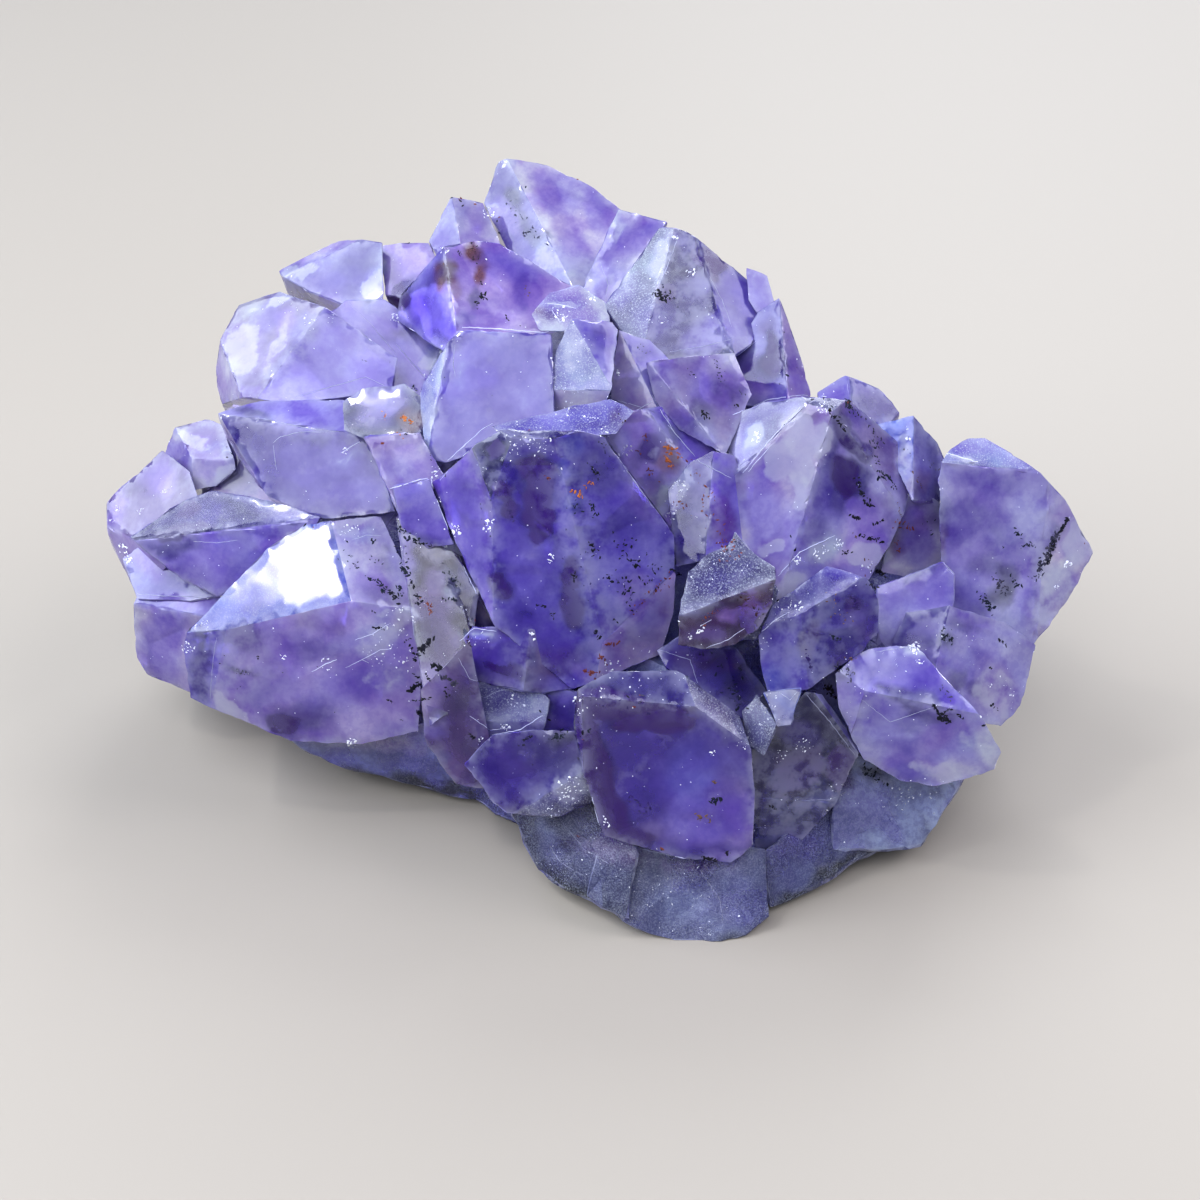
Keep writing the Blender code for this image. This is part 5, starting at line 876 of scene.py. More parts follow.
# thin pale lines, partly growth lines and healed cracks, partly painted highlights along crystal edges: half-width
# (pixels), brightness, points
LINES = [
    (1.1, 1.0, [(462, 327), (500, 329), (545, 333), (556, 328)]), (0.9, 0.9, [(545, 303), (562, 305), (580, 309)]),
    (0.7, 0.8, [(552, 310), (560, 322), (568, 318)]), (0.6, 0.6, [(273, 443), (280, 437), (300, 432), (330, 432)]),
    (0.5, 0.5, [(273, 445), (275, 458), (277, 474)]), (0.9, 0.9, [(341, 453), (352, 446), (364, 440)]),
    (1.1, 1.0, [(390, 489), (412, 482), (431, 477)]), (0.9, 0.9, [(431, 478), (434, 492), (443, 516), (455, 546), (466, 572), (480, 600), (494, 624)]),
    (0.8, 0.8, [(434, 475), (448, 460), (466, 444), (484, 428), (496, 421)]), (0.8, 0.7, [(440, 480), (455, 463), (474, 446)]),
    (0.6, 0.5, [(296, 397), (330, 387), (366, 377), (392, 389)]), (0.9, 0.8, [(743, 473), (770, 440), (803, 404)]),
    (0.7, 0.7, [(748, 472), (774, 442)]), (0.9, 0.7, [(733, 415), (767, 400), (800, 395), (830, 397)]),
    (0.9, 0.8, [(778, 576), (800, 552), (838, 534)]), (0.9, 0.9, [(759, 634), (776, 619), (793, 610)]),
    (0.8, 0.8, [(592, 797), (598, 822), (606, 837)]), (0.8, 0.8, [(642, 849), (668, 855), (692, 860)]),
    
    (0.8, 0.4, [(804, 692), (830, 722), (857, 758)]), 
    (1.2, 1.0, [(945, 452), (962, 458), (982, 463)]),
    (0.7, 0.5, [(678, 238), (666, 270), (652, 298)]), 
    (0.7, 0.6, [(634, 412), (655, 400), (652, 394)]), (0.6, 0.6, [(611, 399), (630, 404), (650, 410)]),
    (0.7, 0.6, [(652, 395), (664, 416), (680, 440)]), (0.8, 0.7, [(460, 641), (474, 628), (500, 632)]),
    (0.6, 0.5, [(458, 658), (470, 679), (488, 684)]), (0.6, 0.5, [(623, 465), (642, 492), (661, 517)]),
    (0.7, 0.6, [(668, 425), (700, 462), (735, 480)]), 
    (0.6, 0.5, [(876, 652), (900, 648), (925, 646)]), 
    (0.9, 0.9, [(492, 735), (520, 730), (548, 712)]), (0.7, 0.7, [(470, 716), (490, 730), (512, 728)]),
    (0.5, 0.5, [(480, 700), (500, 690), (525, 690)]), 
    (0.6, 0.6, [(352, 540), (366, 535), (385, 536)]), (0.5, 0.4, [(222, 424), (240, 462), (268, 497), (290, 510)]),
    (0.6, 0.5, [(258, 418), (317, 430), (343, 432)]), (0.5, 0.4, [(200, 584), (218, 598), (240, 590)]),
    (0.7, 0.7, [(756, 341), (742, 352), (733, 358)]),
    (0.6, 0.5, [(670, 352), (705, 346), (736, 338)]), (0.5, 0.5, [(862, 700), (890, 722), (935, 707)]),
    (0.5, 0.5, [(941, 560), (955, 574), (954, 608)]),
    (0.9, 0.8, [(312, 672), (326, 664), (340, 658)]), (0.6, 0.7, [(358, 662), (380, 650), (396, 648)]),
    (0.7, 0.8, [(355, 640), (372, 634), (392, 622)]), (0.6, 0.6, [(345, 668), (362, 660), (372, 664)]),
    (0.7, 0.7, [(706, 648), (728, 640), (748, 626)]), (0.6, 0.7, [(700, 626), (715, 618)]),
    (0.6, 0.5, [(776, 690), (790, 700), (800, 688)]),
    
    (0.5, 0.4, [(238, 540), (216, 543), (190, 541)]),
    (0.7, 0.6, [(137, 594), (165, 596), (205, 597)]), (0.5, 0.4, [(210, 698), (213, 660), (217, 634)]),
    (0.5, 0.5, [(396, 344), (420, 372), (436, 392)]), (0.4, 0.4, [(455, 345), (453, 365), (456, 380)]),
    (0.4, 0.4, [(345, 300), (372, 325), (398, 357)]),
    (0.5, 0.4, [(600, 262), (608, 285), (604, 305)]), (0.5, 0.4, [(706, 270), (722, 300), (733, 330)]),
    (0.6, 0.5, [(660, 650), (690, 660), (700, 690)]),
    (0.5, 0.4, [(560, 820), (585, 850), (620, 870)]), (0.5, 0.3, [(700, 870), (720, 900), (724, 930)]),
    (0.5, 0.4, [(800, 800), (830, 800), (850, 790)]), (0.5, 0.3, [(540, 830), (560, 862), (590, 880)]),
]
# white glints: x, y, radius of the patch (pixels), count, largest size (pixels)
GLINTS = [
    (395, 318, 5, 12, 6), (345, 450, 4, 8, 5), (455, 530, 7, 18, 6), (490, 526, 7, 16, 7), (448, 548, 3, 6, 5),
    (484, 470, 3, 4, 3), (550, 558, 5, 8, 6), (283, 656, 4, 8, 5), (275, 630, 3, 5, 4), (326, 664, 8, 10, 4),
    (352, 743, 5, 14, 6), (915, 648, 6, 20, 7), (920, 662, 4, 8, 4), (562, 313, 8, 14, 6), (590, 300, 6, 8, 4),
    (505, 727, 5, 16, 6), (515, 705, 10, 16, 4), (480, 740, 5, 8, 4), (503, 165, 5, 8, 6), (488, 213, 6, 12, 6),
    (445, 250, 6, 8, 5), (675, 238, 4, 8, 5), (665, 272, 4, 6, 4), (690, 272, 5, 8, 5), (650, 320, 4, 6, 4),
    (663, 318, 7, 10, 4), (711, 316, 3, 5, 4), (619, 372, 4, 8, 5), (757, 437, 6, 14, 6), (823, 406, 7, 20, 6),
    (797, 560, 5, 10, 5), (838, 545, 6, 14, 6), (822, 552, 8, 16, 5), (868, 568, 8, 10, 4), (800, 606, 5, 10, 5),
    (907, 438, 3, 8, 5), (907, 428, 2, 4, 4), (1068, 565, 4, 14, 5), (1057, 588, 3, 10, 4), (946, 452, 4, 8, 5),
    (690, 636, 3, 8, 4), (700, 630, 5, 10, 5), (713, 753, 3, 8, 4), (605, 822, 6, 12, 5), (570, 790, 14, 40, 5),
    (552, 812, 7, 12, 4), (578, 700, 5, 14, 5), (580, 712, 4, 8, 4), (598, 692, 8, 12, 3), (533, 636, 4, 8, 5),
    (117, 508, 4, 10, 4), (165, 492, 4, 8, 4), (113, 520, 3, 6, 4), (123, 549, 5, 16, 6), (128, 560, 5, 14, 6),
    (140, 510, 4, 6, 4), (188, 648, 7, 16, 5), (205, 625, 5, 10, 4), (400, 622, 16, 26, 5), (380, 650, 18, 26, 4),
    (405, 660, 12, 16, 4), (350, 532, 10, 18, 4), (625, 450, 8, 14, 5), (605, 432, 6, 12, 5), (680, 490, 10, 22, 5),
    (672, 512, 8, 12, 4), (525, 440, 20, 36, 4), (545, 447, 10, 16, 4), (565, 412, 12, 26, 4), (590, 418, 8, 14, 4),
    (480, 637, 12, 18, 3), (612, 668, 10, 16, 4), (640, 670, 24, 20, 3), (690, 672, 20, 14, 3), (745, 740, 10, 20, 3),
    (760, 715, 12, 26, 3), (768, 700, 10, 14, 3), (803, 745, 8, 14, 4), (780, 755, 8, 12, 4), (760, 640, 12, 20, 3),
    (785, 610, 12, 20, 3), (575, 370, 24, 40, 2.5), (580, 350, 16, 26, 2.5), (560, 385, 10, 14, 2.5),
    (725, 560, 24, 24, 2.5), (705, 580, 14, 14, 2.5), (905, 795, 16, 30, 3.5), (840, 800, 20, 16, 3),
    (930, 790, 8, 10, 3), (655, 900, 30, 26, 3), (700, 880, 20, 16, 3), (640, 870, 30, 16, 2.5), (720, 920, 20, 12, 3),
    (545, 860, 20, 14, 2.5), (600, 860, 30, 16, 2.5), (290, 300, 14, 14, 3), (312, 322, 10, 10, 4), (330, 318, 6, 6, 3),
    (862, 700, 20, 14, 2.5), (900, 670, 24, 16, 2.5), (960, 640, 30, 16, 2.5), (1000, 690, 16, 12, 2.5),
    (430, 375, 6, 10, 3), (440, 350, 5, 8, 4), (434, 475, 4, 8, 5), (437, 500, 4, 8, 4), (436, 470, 6, 8, 3),
]

def srgb(c):
    out = []
    for v in c:
        v /= 255.0
        out.append(v / 12.92 if v <= 0.04045 else ((v + 0.055) / 1.055) ** 2.4)
    return out


def tone(name):
    """Linear colour of a tone name with its + and - signs."""
    key = name.rstrip("+-")
    gain = 1.22 ** name.count("+") * 0.74 ** name.count("-")
    return np.clip((np.array(srgb(TONE[key])) - 0.035) * gain * 1.35, 0.004, 0.96)


def bevel_object(obj, width):
    bm = bmesh.new()
    bm.from_mesh(obj.data)
    bmesh.ops.bevel(bm, geom=bm.edges[:], offset=width * MM, offset_type='OFFSET', segments=1,
                    profile=0.5, affect='EDGES', clamp_overlap=True)
    bmesh.ops.remove_doubles(bm, verts=bm.verts[:], dist=2e-6)
    bmesh.ops.recalc_face_normals(bm, faces=bm.faces[:])
    bm.to_mesh(obj.data)
    bm.free()


def make_crystals():
    """All the crystals and lumps, with their planes and their tones."""
    made, book = [], []
    for table, floor in ((SEEN, 2.0), (BASE_SEEN, 0.8)):
        for name, (anchor, back, length, facets) in table.items():
            planes, pos = crystal_planes(anchor, back, length, facets)
            low = 0.0 if name == "K2" else floor
            names = LOOK[name].split()
            tones = names[1:1 + len(facets)]
            tones += [names[0]] * (len(planes) - len(tones))
            obj = solid_from_planes(name, planes, floor=low)
            axis = np.sum([p[0] for p in planes[:len(facets)]], axis=0)
            axis /= np.linalg.norm(axis)
            made.append(obj)
            book.append((name, planes, tones, axis, 1.0))
            if name[0] == "K":
                bevel_object(obj, 0.30)
                continue
            bevel_object(obj, 0.13)
    for i, (name, spec) in enumerate(FAR.items()):
        planes = quartz_planes(*spec)
        obj = solid_from_planes(name, planes, floor=3.0)
        bevel_object(obj, 0.16)
        made.append(obj)
        t = FAR_LOOK[i % len(FAR_LOOK)]
        axis = facing(spec[1], spec[2])
        book.append((name, planes, [t] * len(planes), axis, 1.0))
    for name, rings in LUMPS:
        made.append(ring_solid(name, rings))
    for i, (centre, radii) in enumerate(CORE):
        made.append(ball_solid("core%d" % i, centre, radii))
    return made, book


def union(pieces):
    """One closed mesh of all the pieces, as a bmesh."""
    group = bpy.data.collections.new("crystals")
    for obj in pieces[1:]:
        group.objects.link(obj)
    mod = pieces[0].modifiers.new("union", 'BOOLEAN')
    mod.operation = 'UNION'
    mod.operand_type = 'COLLECTION'
    mod.collection = group
    mod.solver = 'EXACT'
    dep = bpy.context.evaluated_depsgraph_get()
    mesh = bpy.data.meshes.new_from_object(pieces[0].evaluated_get(dep))
    bm = bmesh.new()
    bm.from_mesh(mesh)
    bpy.data.meshes.remove(mesh)
    seen, shells = set(), []
    for face in bm.faces:
        if face in seen:
            continue
        stack, shell = [face], []
        seen.add(face)
        while stack:
            f = stack.pop()
            shell.append(f)
            for e in f.edges:
                for g in e.link_faces:
                    if g not in seen:
                        seen.add(g)
                        stack.append(g)
        shells.append(shell)
    shells.sort(key=lambda sh: -sum(f.calc_area() for f in sh))
    for shell in shells[1:]:
        bmesh.ops.delete(bm, geom=shell, context='FACES')
    bmesh.ops.delete(bm, geom=[v for v in bm.verts if not v.link_faces], context='VERTS')
    for obj in pieces:
        bpy.data.objects.remove(obj, do_unlink=True)
    bpy.data.collections.remove(group)
    bmesh.ops.triangulate(bm, faces=bm.faces[:])
    bm.normal_update()
    return bm


pieces, book = make_crystals()
print("pieces", len(pieces))
bm = union(pieces)

# which plane each face lies on: its tone, or the bevel of an edge, or the base
TONES = sorted({t for entry in book for t in entry[2]} | {"bs"})
bm.faces.ensure_lookup_table()
cen = np.array([f.calc_center_median() for f in bm.faces]) / MM
nor = np.array([f.normal for f in bm.faces])
count = len(bm.faces)
face_kind = np.zeros(count, int)        # 0 rough base or core, 1 crystal face, 2 edge
face_own = np.full(count, -1)
face_plane = np.full(count, -1)
for k, (name, planes, tones, axis, gain) in enumerate(book):
    PN = np.array([p[0] for p in planes])
    PD = np.array([p[1] for p in planes])
    dist = cen @ PN.T - PD
    outer = dist.max(axis=1)
    for j in range(len(planes)):
        ok = (np.abs(dist[:, j]) < 0.02) & (outer < 0.02) & (nor @ PN[j] > 0.9995)
        face_kind[ok], face_own[ok], face_plane[ok] = 1, k, j
    edge = (face_own < 0) & (outer < 0.01) & (outer > -0.12)
    face_kind[edge], face_own[edge] = 2, k
    face_plane[edge] = dist[edge].argmax(axis=1)
lays = {key: bm.faces.layers.int.new(key) for key in ("kind", "own", "plane")}
for i, f in enumerate(bm.faces):
    f[lays["kind"]] = int(face_kind[i])
    f[lays["own"]] = int(face_own[i])
    f[lays["plane"]] = int(face_plane[i])


def is_rock(f):
    return f[lays["own"]] < 0 or book[f[lays["own"]]][0][0] == "K"


def project(points):
    """Pixels of points in mm, and their depth."""
    rel = points - EYE
    depth = rel @ FWD
    return 600 + FOCAL * (rel @ RIGHT) / depth, 600 - FOCAL * (rel @ UP) / depth, depth


# finer where it shows, finest round the dark patches, coarser behind
fine_spots = [s for s in STROKES if s[5].rstrip("+-") in ("dk", "wh", "ru", "gy") and s[6] > 0.5]
scale = 1.0
for step in range(9):
    edges = bm.edges[:]
    ends = np.array([(e.verts[0].co, e.verts[1].co) for e in edges]) / MM
    mids = ends.mean(axis=1)
    face_n = np.array([e.link_faces[0].normal + e.link_faces[-1].normal for e in edges])
    stony = np.array([any(is_rock(f) for f in e.link_faces) for e in edges])
    toward = ((EYE - mids) * face_n).sum(axis=1) > 0
    ex, ey, ez = project(mids)
    spot = np.zeros(len(edges), bool)
    for (x, y, a, b, turn, name, strength) in fine_spots:
        t = math.radians(turn)
        u = ((ex - x) * math.cos(t) + (ey - y) * math.sin(t)) / (a + 5)
        v = (-(ex - x) * math.sin(t) + (ey - y) * math.cos(t)) / (b + 5)
        spot |= u * u + v * v < 1.7
    worn = np.array([any(f[lays["kind"]] == 2 for f in e.link_faces) for e in edges])
    near = np.where(stony, 1.0, np.where(spot, 0.40, np.where(worn, 0.58, 0.78)))
    aim = np.where(toward, near, 2.4) * scale
    ratio = np.linalg.norm(ends[:, 0] - ends[:, 1], axis=1) / aim
    room = (188000 - len(bm.faces)) // 2
    order = [int(i) for i in np.argsort(-ratio) if ratio[i] > 1.35][:max(room, 0)]
    long_edges = [edges[i] for i in order]
    if not long_edges:
        break
    bmesh.ops.subdivide_edges(bm, edges=long_edges, cuts=1, use_grid_fill=False)
    bmesh.ops.triangulate(bm, faces=[f for f in bm.faces if len(f.verts) > 3])
    bm.normal_update()

# slivers that lie folded on themselves go
bm.verts.index_update()
first, twice = {}, set()
for f in bm.faces:
    key = tuple(sorted(v.index for v in f.verts))
    if key in first:
        twice.update((f, first[key]))
    else:
        first[key] = f
bmesh.ops.delete(bm, geom=[f for f in bm.faces if f in twice], context='FACES')
bmesh.ops.delete(bm, geom=[v for v in bm.verts if not v.link_faces], context='VERTS')

# relief: the base is rough, crystal faces hardly
bm.normal_update()
for v in bm.verts:
    rocky = sum(is_rock(f) for f in v.link_faces) / len(v.link_faces)
    p = v.co * 1000
    if rocky > 0:
        n = noise.noise(p * 0.35) * 0.55 + noise.noise(p * 0.9) * 0.28 + noise.noise(p * 2.1) * 0.14
        v.co += v.normal * (n * rocky * 0.85 * MM)
        v.co.z = max(v.co.z, 0.0)
    else:
        n = noise.noise(p * 0.30) * 0.025 + noise.noise(p * 1.1 + Vector((5, 1, 3))) * 0.008
        if any(f[lays["kind"]] == 2 for f in v.link_faces):
            n += noise.noise(p * 0.7 + Vector((2, 8, 1))) * 0.16 + noise.noise(p * 1.9) * 0.10 - 0.04
        v.co += v.normal * (n * MM)
mesh = bpy.data.meshes.new("amethyst_crystals")
bm.to_mesh(mesh)
bm.free()
print("triangles", len(mesh.polygons))
print("edges split, step", step)

# ------------------------------------------------------------- colour of the faces
n_face, n_vert = len(mesh.polygons), len(mesh.vertices)


def read(attribute):
    out = np.zeros(n_face, np.int32)
    mesh.attributes[attribute].data.foreach_get("value", out)
    return out


kind, own, plane = read("kind"), read("own"), read("plane")
for key in lays:
    mesh.attributes.remove(mesh.attributes[key])
co = np.zeros(n_vert * 3)
mesh.vertices.foreach_get("co", co)
co = co.reshape(-1, 3) / MM
tri = np.zeros(n_face * 3, np.int32)
mesh.loops.foreach_get("vertex_index", tri)
tri = tri.reshape(-1, 3)
px, py, depth = project(co)
tree = BVHTree.FromPolygons([Vector(c) for c in co], tri.tolist())


def hit(x, y):
    """The point, the normal and the face that a sight line meets first, mm."""
    loc, n, idx, dist = tree.ray_cast(Vector(EYE), Vector(sight(x, y)).normalized())
    return None if loc is None else (np.array(loc), np.array(n), idx)


co_v = [Vector(c) for c in co]
warp = np.array([(noise.noise(c * 0.26), noise.noise(c * 0.26 + Vector((7.3, 0, 0))),
                  noise.noise(c * 0.9), noise.noise(c * 0.9 + Vector((3.1, 5, 0)))) for c in co_v])
paint = np.zeros((n_vert, 3))
keep = np.ones(n_vert)
deep = np.zeros(n_vert)
milk_and_sheen = np.zeros(n_vert)
for (x, y, a, b, turn, name, strength) in STROKES:
    h = hit(x, y)
    if h is None:
        continue
    t = math.radians(turn)
    dx = px + warp[:, 0] * 9 + warp[:, 2] * 5 - x
    dy = py + warp[:, 1] * 9 + warp[:, 3] * 5 - y
    u = (dx * math.cos(t) + dy * math.sin(t)) / a
    v = (-dx * math.sin(t) + dy * math.cos(t)) / b
    dd = (depth - (h[0] - EYE) @ FWD) / (0.14 * max(a, b) + 2.0)
    r = np.sqrt(u * u + v * v + dd * dd)
    w = np.clip((1.30 - r) / 0.75, 0, 1)
    w = w * w * (3 - 2 * w)
    key = name.rstrip("+-")
    if key == "dk":
        deep = np.maximum(deep, w * strength)
        w = w * strength * 0.9
    # milky strokes, partly painted sheen and reflection
    elif key in ("wh", "sh"):
        milk_and_sheen = np.maximum(milk_and_sheen, w * strength)
        w = w * strength * 0.8
    else:
        w = w * strength
    paint = paint * (1 - w)[:, None] + tone(name)[None, :] * w[:, None]
    keep *= 1 - w

face_col = np.zeros((n_face, 3))
etch = np.zeros(n_face)
rock = np.zeros(n_face)
local = np.zeros((n_face, 3, 3))
edge_light = np.zeros((n_face, 3))
corner = co[tri]
spin = {}
for k in np.unique(own):
    mine = own == k
    if k < 0:
        face_col[mine] = tone("bs")
        rock[mine] = 1
        local[mine] = corner[mine]
        continue
    name, planes, tones, axis, gain = book[k]
    PN = np.array([p[0] for p in planes])
    PD = np.array([p[1] for p in planes])
    for j in range(len(planes)):
        here = mine & (plane == j)
        face_col[here] = tone(tones[j]) * gain
        etch[here] = ETCHED.get(tones[j].rstrip("+-"), 0.0)
        others = [q for q in range(len(planes)) if q != j]
        if others and here.any():
            # painted edge highlight: it fades within about 0.6 mm of the face's other planes
            d = (corner[here] @ PN[others].T - PD[others]).max(axis=2)
            edge_light[here] = np.exp(-np.clip(-d, 0, 9) / 0.6)
    rock[mine] = name[0] == "K"
    # streaks run along the crystal: squeeze the coordinates along its axis
    if name not in spin:
        random.seed(name)
        spin[name] = np.array([random.uniform(-60, 60) for _ in range(3)])
    along = corner[mine] @ axis
    local[mine] = corner[mine] - along[..., None] * axis * 0.55 + spin[name]
random.seed(11)
# the painted edge highlight is full on the bevels and left off the base
edge_light[rock > 0] = 0
edge_light[kind == 2] = 1
mottle = np.array([noise.noise(c * 0.16 + Vector((1, 9, 4))) + 0.6 * noise.noise(c * 0.42 + Vector((3, 2, 8)))
                   for c in co_v])
col = face_col[:, None, :] * (1.0 + 0.14 * mottle[tri])[..., None]
col = col * keep[tri][..., None] + paint[tri]
# planes inside the crystals: slabs of deeper colour along one set of directions
slab = np.zeros((n_face, 3))
for turn, wide, cut in ((0.35, 5.2, 0.30), (1.25, 7.4, 0.25), (2.30, 6.1, 0.30)):
    way = np.array((math.cos(turn), math.sin(turn) * 0.6, math.sin(turn) * 0.5 + 0.25))
    run = local @ (way / np.linalg.norm(way)) / wide
    step_in = run - np.floor(run)
    slab += cut * np.clip((step_in - 0.42) / 0.10, 0, 1) * np.clip((0.98 - step_in) / 0.04, 0, 1)
slab *= (1 - rock)[:, None]
col *= 1 - slab[..., None] * np.array((0.62, 0.78, 0.30))
col = np.clip(col, 0, 1)


def corner_layer(name, values):
    layer = mesh.attributes.new(name, 'FLOAT_COLOR', 'CORNER')
    layer.data.foreach_set("color", np.ascontiguousarray(values, np.float32).reshape(-1))


one = np.ones((n_face, 3, 1))
corner_layer("zone", np.concatenate([col, one], axis=2))
cloud = np.array([0.5 + 0.9 * (noise.noise(c * 0.22) * 0.6 + noise.noise(c * 0.5) * 0.3) for c in co_v])
# make holds the etching, the base and the painted edge highlight
corner_layer("make", np.stack([np.repeat(etch[:, None], 3, 1), np.repeat(rock[:, None], 3, 1), edge_light, one[..., 0]], axis=2))
# mark holds the deep patches, the milky patches with painted sheen, and the clouds
corner_layer("mark", np.stack([deep[tri], milk_and_sheen[tri], cloud[tri], one[..., 0]], axis=2))
layer = mesh.attributes.new("local", 'FLOAT_VECTOR', 'CORNER')
layer.data.foreach_set("vector", np.ascontiguousarray(local, np.float32).reshape(-1))
mesh.vertices.foreach_set("co", ((co - np.array(ORIGIN)) * MM).reshape(-1))
mesh.update()
mesh.set_sharp_from_angle(angle=math.radians(26))
cluster = bpy.data.objects.new("amethyst_crystals", mesh)
bpy.context.scene.collection.objects.link(cluster)


# ------------------------------------------------------------- what is shut in them
class Heap:
    """Many small closed pieces in one mesh."""

    def __init__(self):
        self.verts, self.faces, self.shades = [], [], []

    def flake(self, centre, normal, length, width, thick, turn, shade):
        """A flat splinter with a ragged outline, lying along a face."""
        n = Vector(normal).normalized()
        t = n.orthogonal().normalized()
        t.rotate(Matrix.Rotation(turn, 3, n))
        b = n.cross(t)
        c = Vector(centre)
        sides = random.choice((5, 6, 7))
        start = len(self.verts)
        for i in range(sides):
            a = 2 * math.pi * (i + random.uniform(-0.3, 0.3)) / sides
            r = random.uniform(0.65, 1.1)
            self.verts.append(c + t * (math.cos(a) * r * length / 2) + b * (math.sin(a) * r * width / 2))
        self.verts.append(c + n * thick)
        self.verts.append(c - n * thick)
        for i in range(sides):
            j = (i + 1) % sides
            self.faces.append((start + i, start + j, start + sides))
            self.faces.append((start + j, start + i, start + sides + 1))
            self.shades += [shade, shade]

    def thread(self, points, normals, half, shade):
        """A thin three-sided ridge through points."""
        start = len(self.verts)
        m = len(points)
        for i, (p, n) in enumerate(zip(points, normals)):
            p, n = Vector(p), Vector(n)
            along = Vector(points[min(i + 1, m - 1)]) - Vector(points[max(i - 1, 0)])
            side = along.cross(n)
            if side.length < 1e-9:
                side = n.orthogonal()
            side.normalize()
            w = half * (0.25 + 0.75 * math.sin(math.pi * (i + 0.5) / m) ** 0.5) * random.uniform(0.7, 1.15)
            self.verts += [p + side * w, p + n * w * 0.7, p - side * w, p - n * w * 0.7]
        for i in range(m - 1):
            a = start + 4 * i
            for k in range(4):
                q = (k + 1) % 4
                self.faces.append((a + k, a + q, a + 4 + q, a + 4 + k))
                self.shades.append(shade)
        self.faces.append((start + 3, start + 2, start + 1, start))
        self.faces.append(tuple(start + 4 * (m - 1) + k for k in range(4)))
        self.shades += [shade, shade]

    def build(self, name, material):
        me = bpy.data.meshes.new(name)
        me.from_pydata([tuple((np.array(v) - np.array(ORIGIN)) * MM) for v in self.verts], [], self.faces)
        me.update()
        layer = me.attributes.new("shade", 'FLOAT_COLOR', 'FACE')
        layer.data.foreach_set("color", np.array([list(s) + [1.0] for s in self.shades], np.float32).reshape(-1))
        fix = bmesh.new()
        fix.from_mesh(me)
        bmesh.ops.recalc_face_normals(fix, faces=fix.faces[:])
        fix.to_mesh(me)
        fix.free()
        me.materials.append(material)
        obj = bpy.data.objects.new(name, me)
        bpy.context.scene.collection.objects.link(obj)
        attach(obj, "root")
        return obj


# ---------------------------------------------------------------------- materials
def new_material(name):
    mat = bpy.data.materials.new(name)
    mat.use_nodes = True
    nt = mat.node_tree
    return mat, nt, nt.nodes["Principled BSDF"], nt.nodes["Material Output"]


class Net:
    """Short names for the nodes of one material."""

    def __init__(self, nt, vector=None):
        self.nt = nt
        self.vector = vector

    def node(self, kind):
        return self.nt.nodes.new(kind)

    def link(self, a, b):
        self.nt.links.new(a, b)

    def put(self, socket, value):
        if hasattr(value, "is_linked"):
            self.link(value, socket)
        else:
            socket.default_value = value

    def noise(self, scale, detail=4.0, rough=0.6, twist=0.0, vector=None):
        t = self.node("ShaderNodeTexNoise")
        t.inputs["Scale"].default_value = scale
        t.inputs["Detail"].default_value = detail
        t.inputs["Roughness"].default_value = rough
        t.inputs["Distortion"].default_value = twist
        self.link(vector or self.vector, t.inputs["Vector"])
        return t.outputs["Fac"]

    def cells(self, scale, feature='F1', vector=None):
        t = self.node("ShaderNodeTexVoronoi")
        t.feature = feature
        t.inputs["Scale"].default_value = scale
        self.link(vector or self.vector, t.inputs["Vector"])
        return t

    def ramp(self, source, a, b, c=0.0, d=1.0, smooth=True):
        r = self.node("ShaderNodeMapRange")
        if smooth:
            r.interpolation_type = 'SMOOTHSTEP'
        self.put(r.inputs["Value"], source)
        for key, value in (("From Min", a), ("From Max", b), ("To Min", c), ("To Max", d)):
            r.inputs[key].default_value = value
        return r.outputs["Result"]

    def math(self, op, a, b=0.0):
        m = self.node("ShaderNodeMath")
        m.operation = op
        self.put(m.inputs[0], a)
        self.put(m.inputs[1], b)
        return m.outputs[0]

    def mix(self, fac, a, b, mode='MIX'):
        m = self.node("ShaderNodeMix")
        m.data_type = 'RGBA'
        m.blend_type = mode
        self.put(m.inputs[0], fac)
        self.put(m.inputs[6], a)
        self.put(m.inputs[7], b)
        return m.outputs[2]

    def split(self, colour):
        s = self.node("ShaderNodeSeparateColor")
        self.link(colour, s.inputs[0])
        return s.outputs


mat, nt, shader, out = new_material("amethyst")
net = Net(nt)
attr = {}
for key in ("zone", "make", "mark", "local"):
    attr[key] = net.node("ShaderNodeAttribute")
    attr[key].attribute_name = key
net.vector = attr["local"].outputs["Vector"]
etched, rocky, edge_light_mask = net.split(attr["make"].outputs["Color"])[:3]
deepness, milk_and_sheen_mask, cloud = net.split(attr["mark"].outputs["Color"])[:3]
smooth = net.math('SUBTRACT', 1.0, rocky)
wisp = net.noise(0.55, 3, 0.62)
streak = net.noise(1.8, 2, 0.6)
grain = net.noise(7.0, 2, 0.7)
colour = attr["zone"].outputs["Color"]
# clouds of deeper and paler colour
colour = net.mix(net.ramp(cloud, 0.64, 0.34, 0.0, 0.60), colour, (0.58, 0.42, 0.82, 1), 'MULTIPLY')
colour = net.mix(net.math('MULTIPLY', net.ramp(wisp, 0.54, 0.74, 0.0, 0.13), smooth), colour, (0.74, 0.72, 0.97, 1))
colour = net.mix(net.ramp(streak, 0.62, 0.38, 0.0, 0.25), colour, (0.50, 0.40, 0.80, 1), 'MULTIPLY')
# the deep patches have ragged borders
ragged = net.math('ADD', deepness, net.math('MULTIPLY', net.math('SUBTRACT', wisp, 0.5), 0.9))
colour = net.mix(net.ramp(ragged, 0.12, 0.66, 0.0, 0.96), colour, (0.048, 0.001, 0.215, 1))
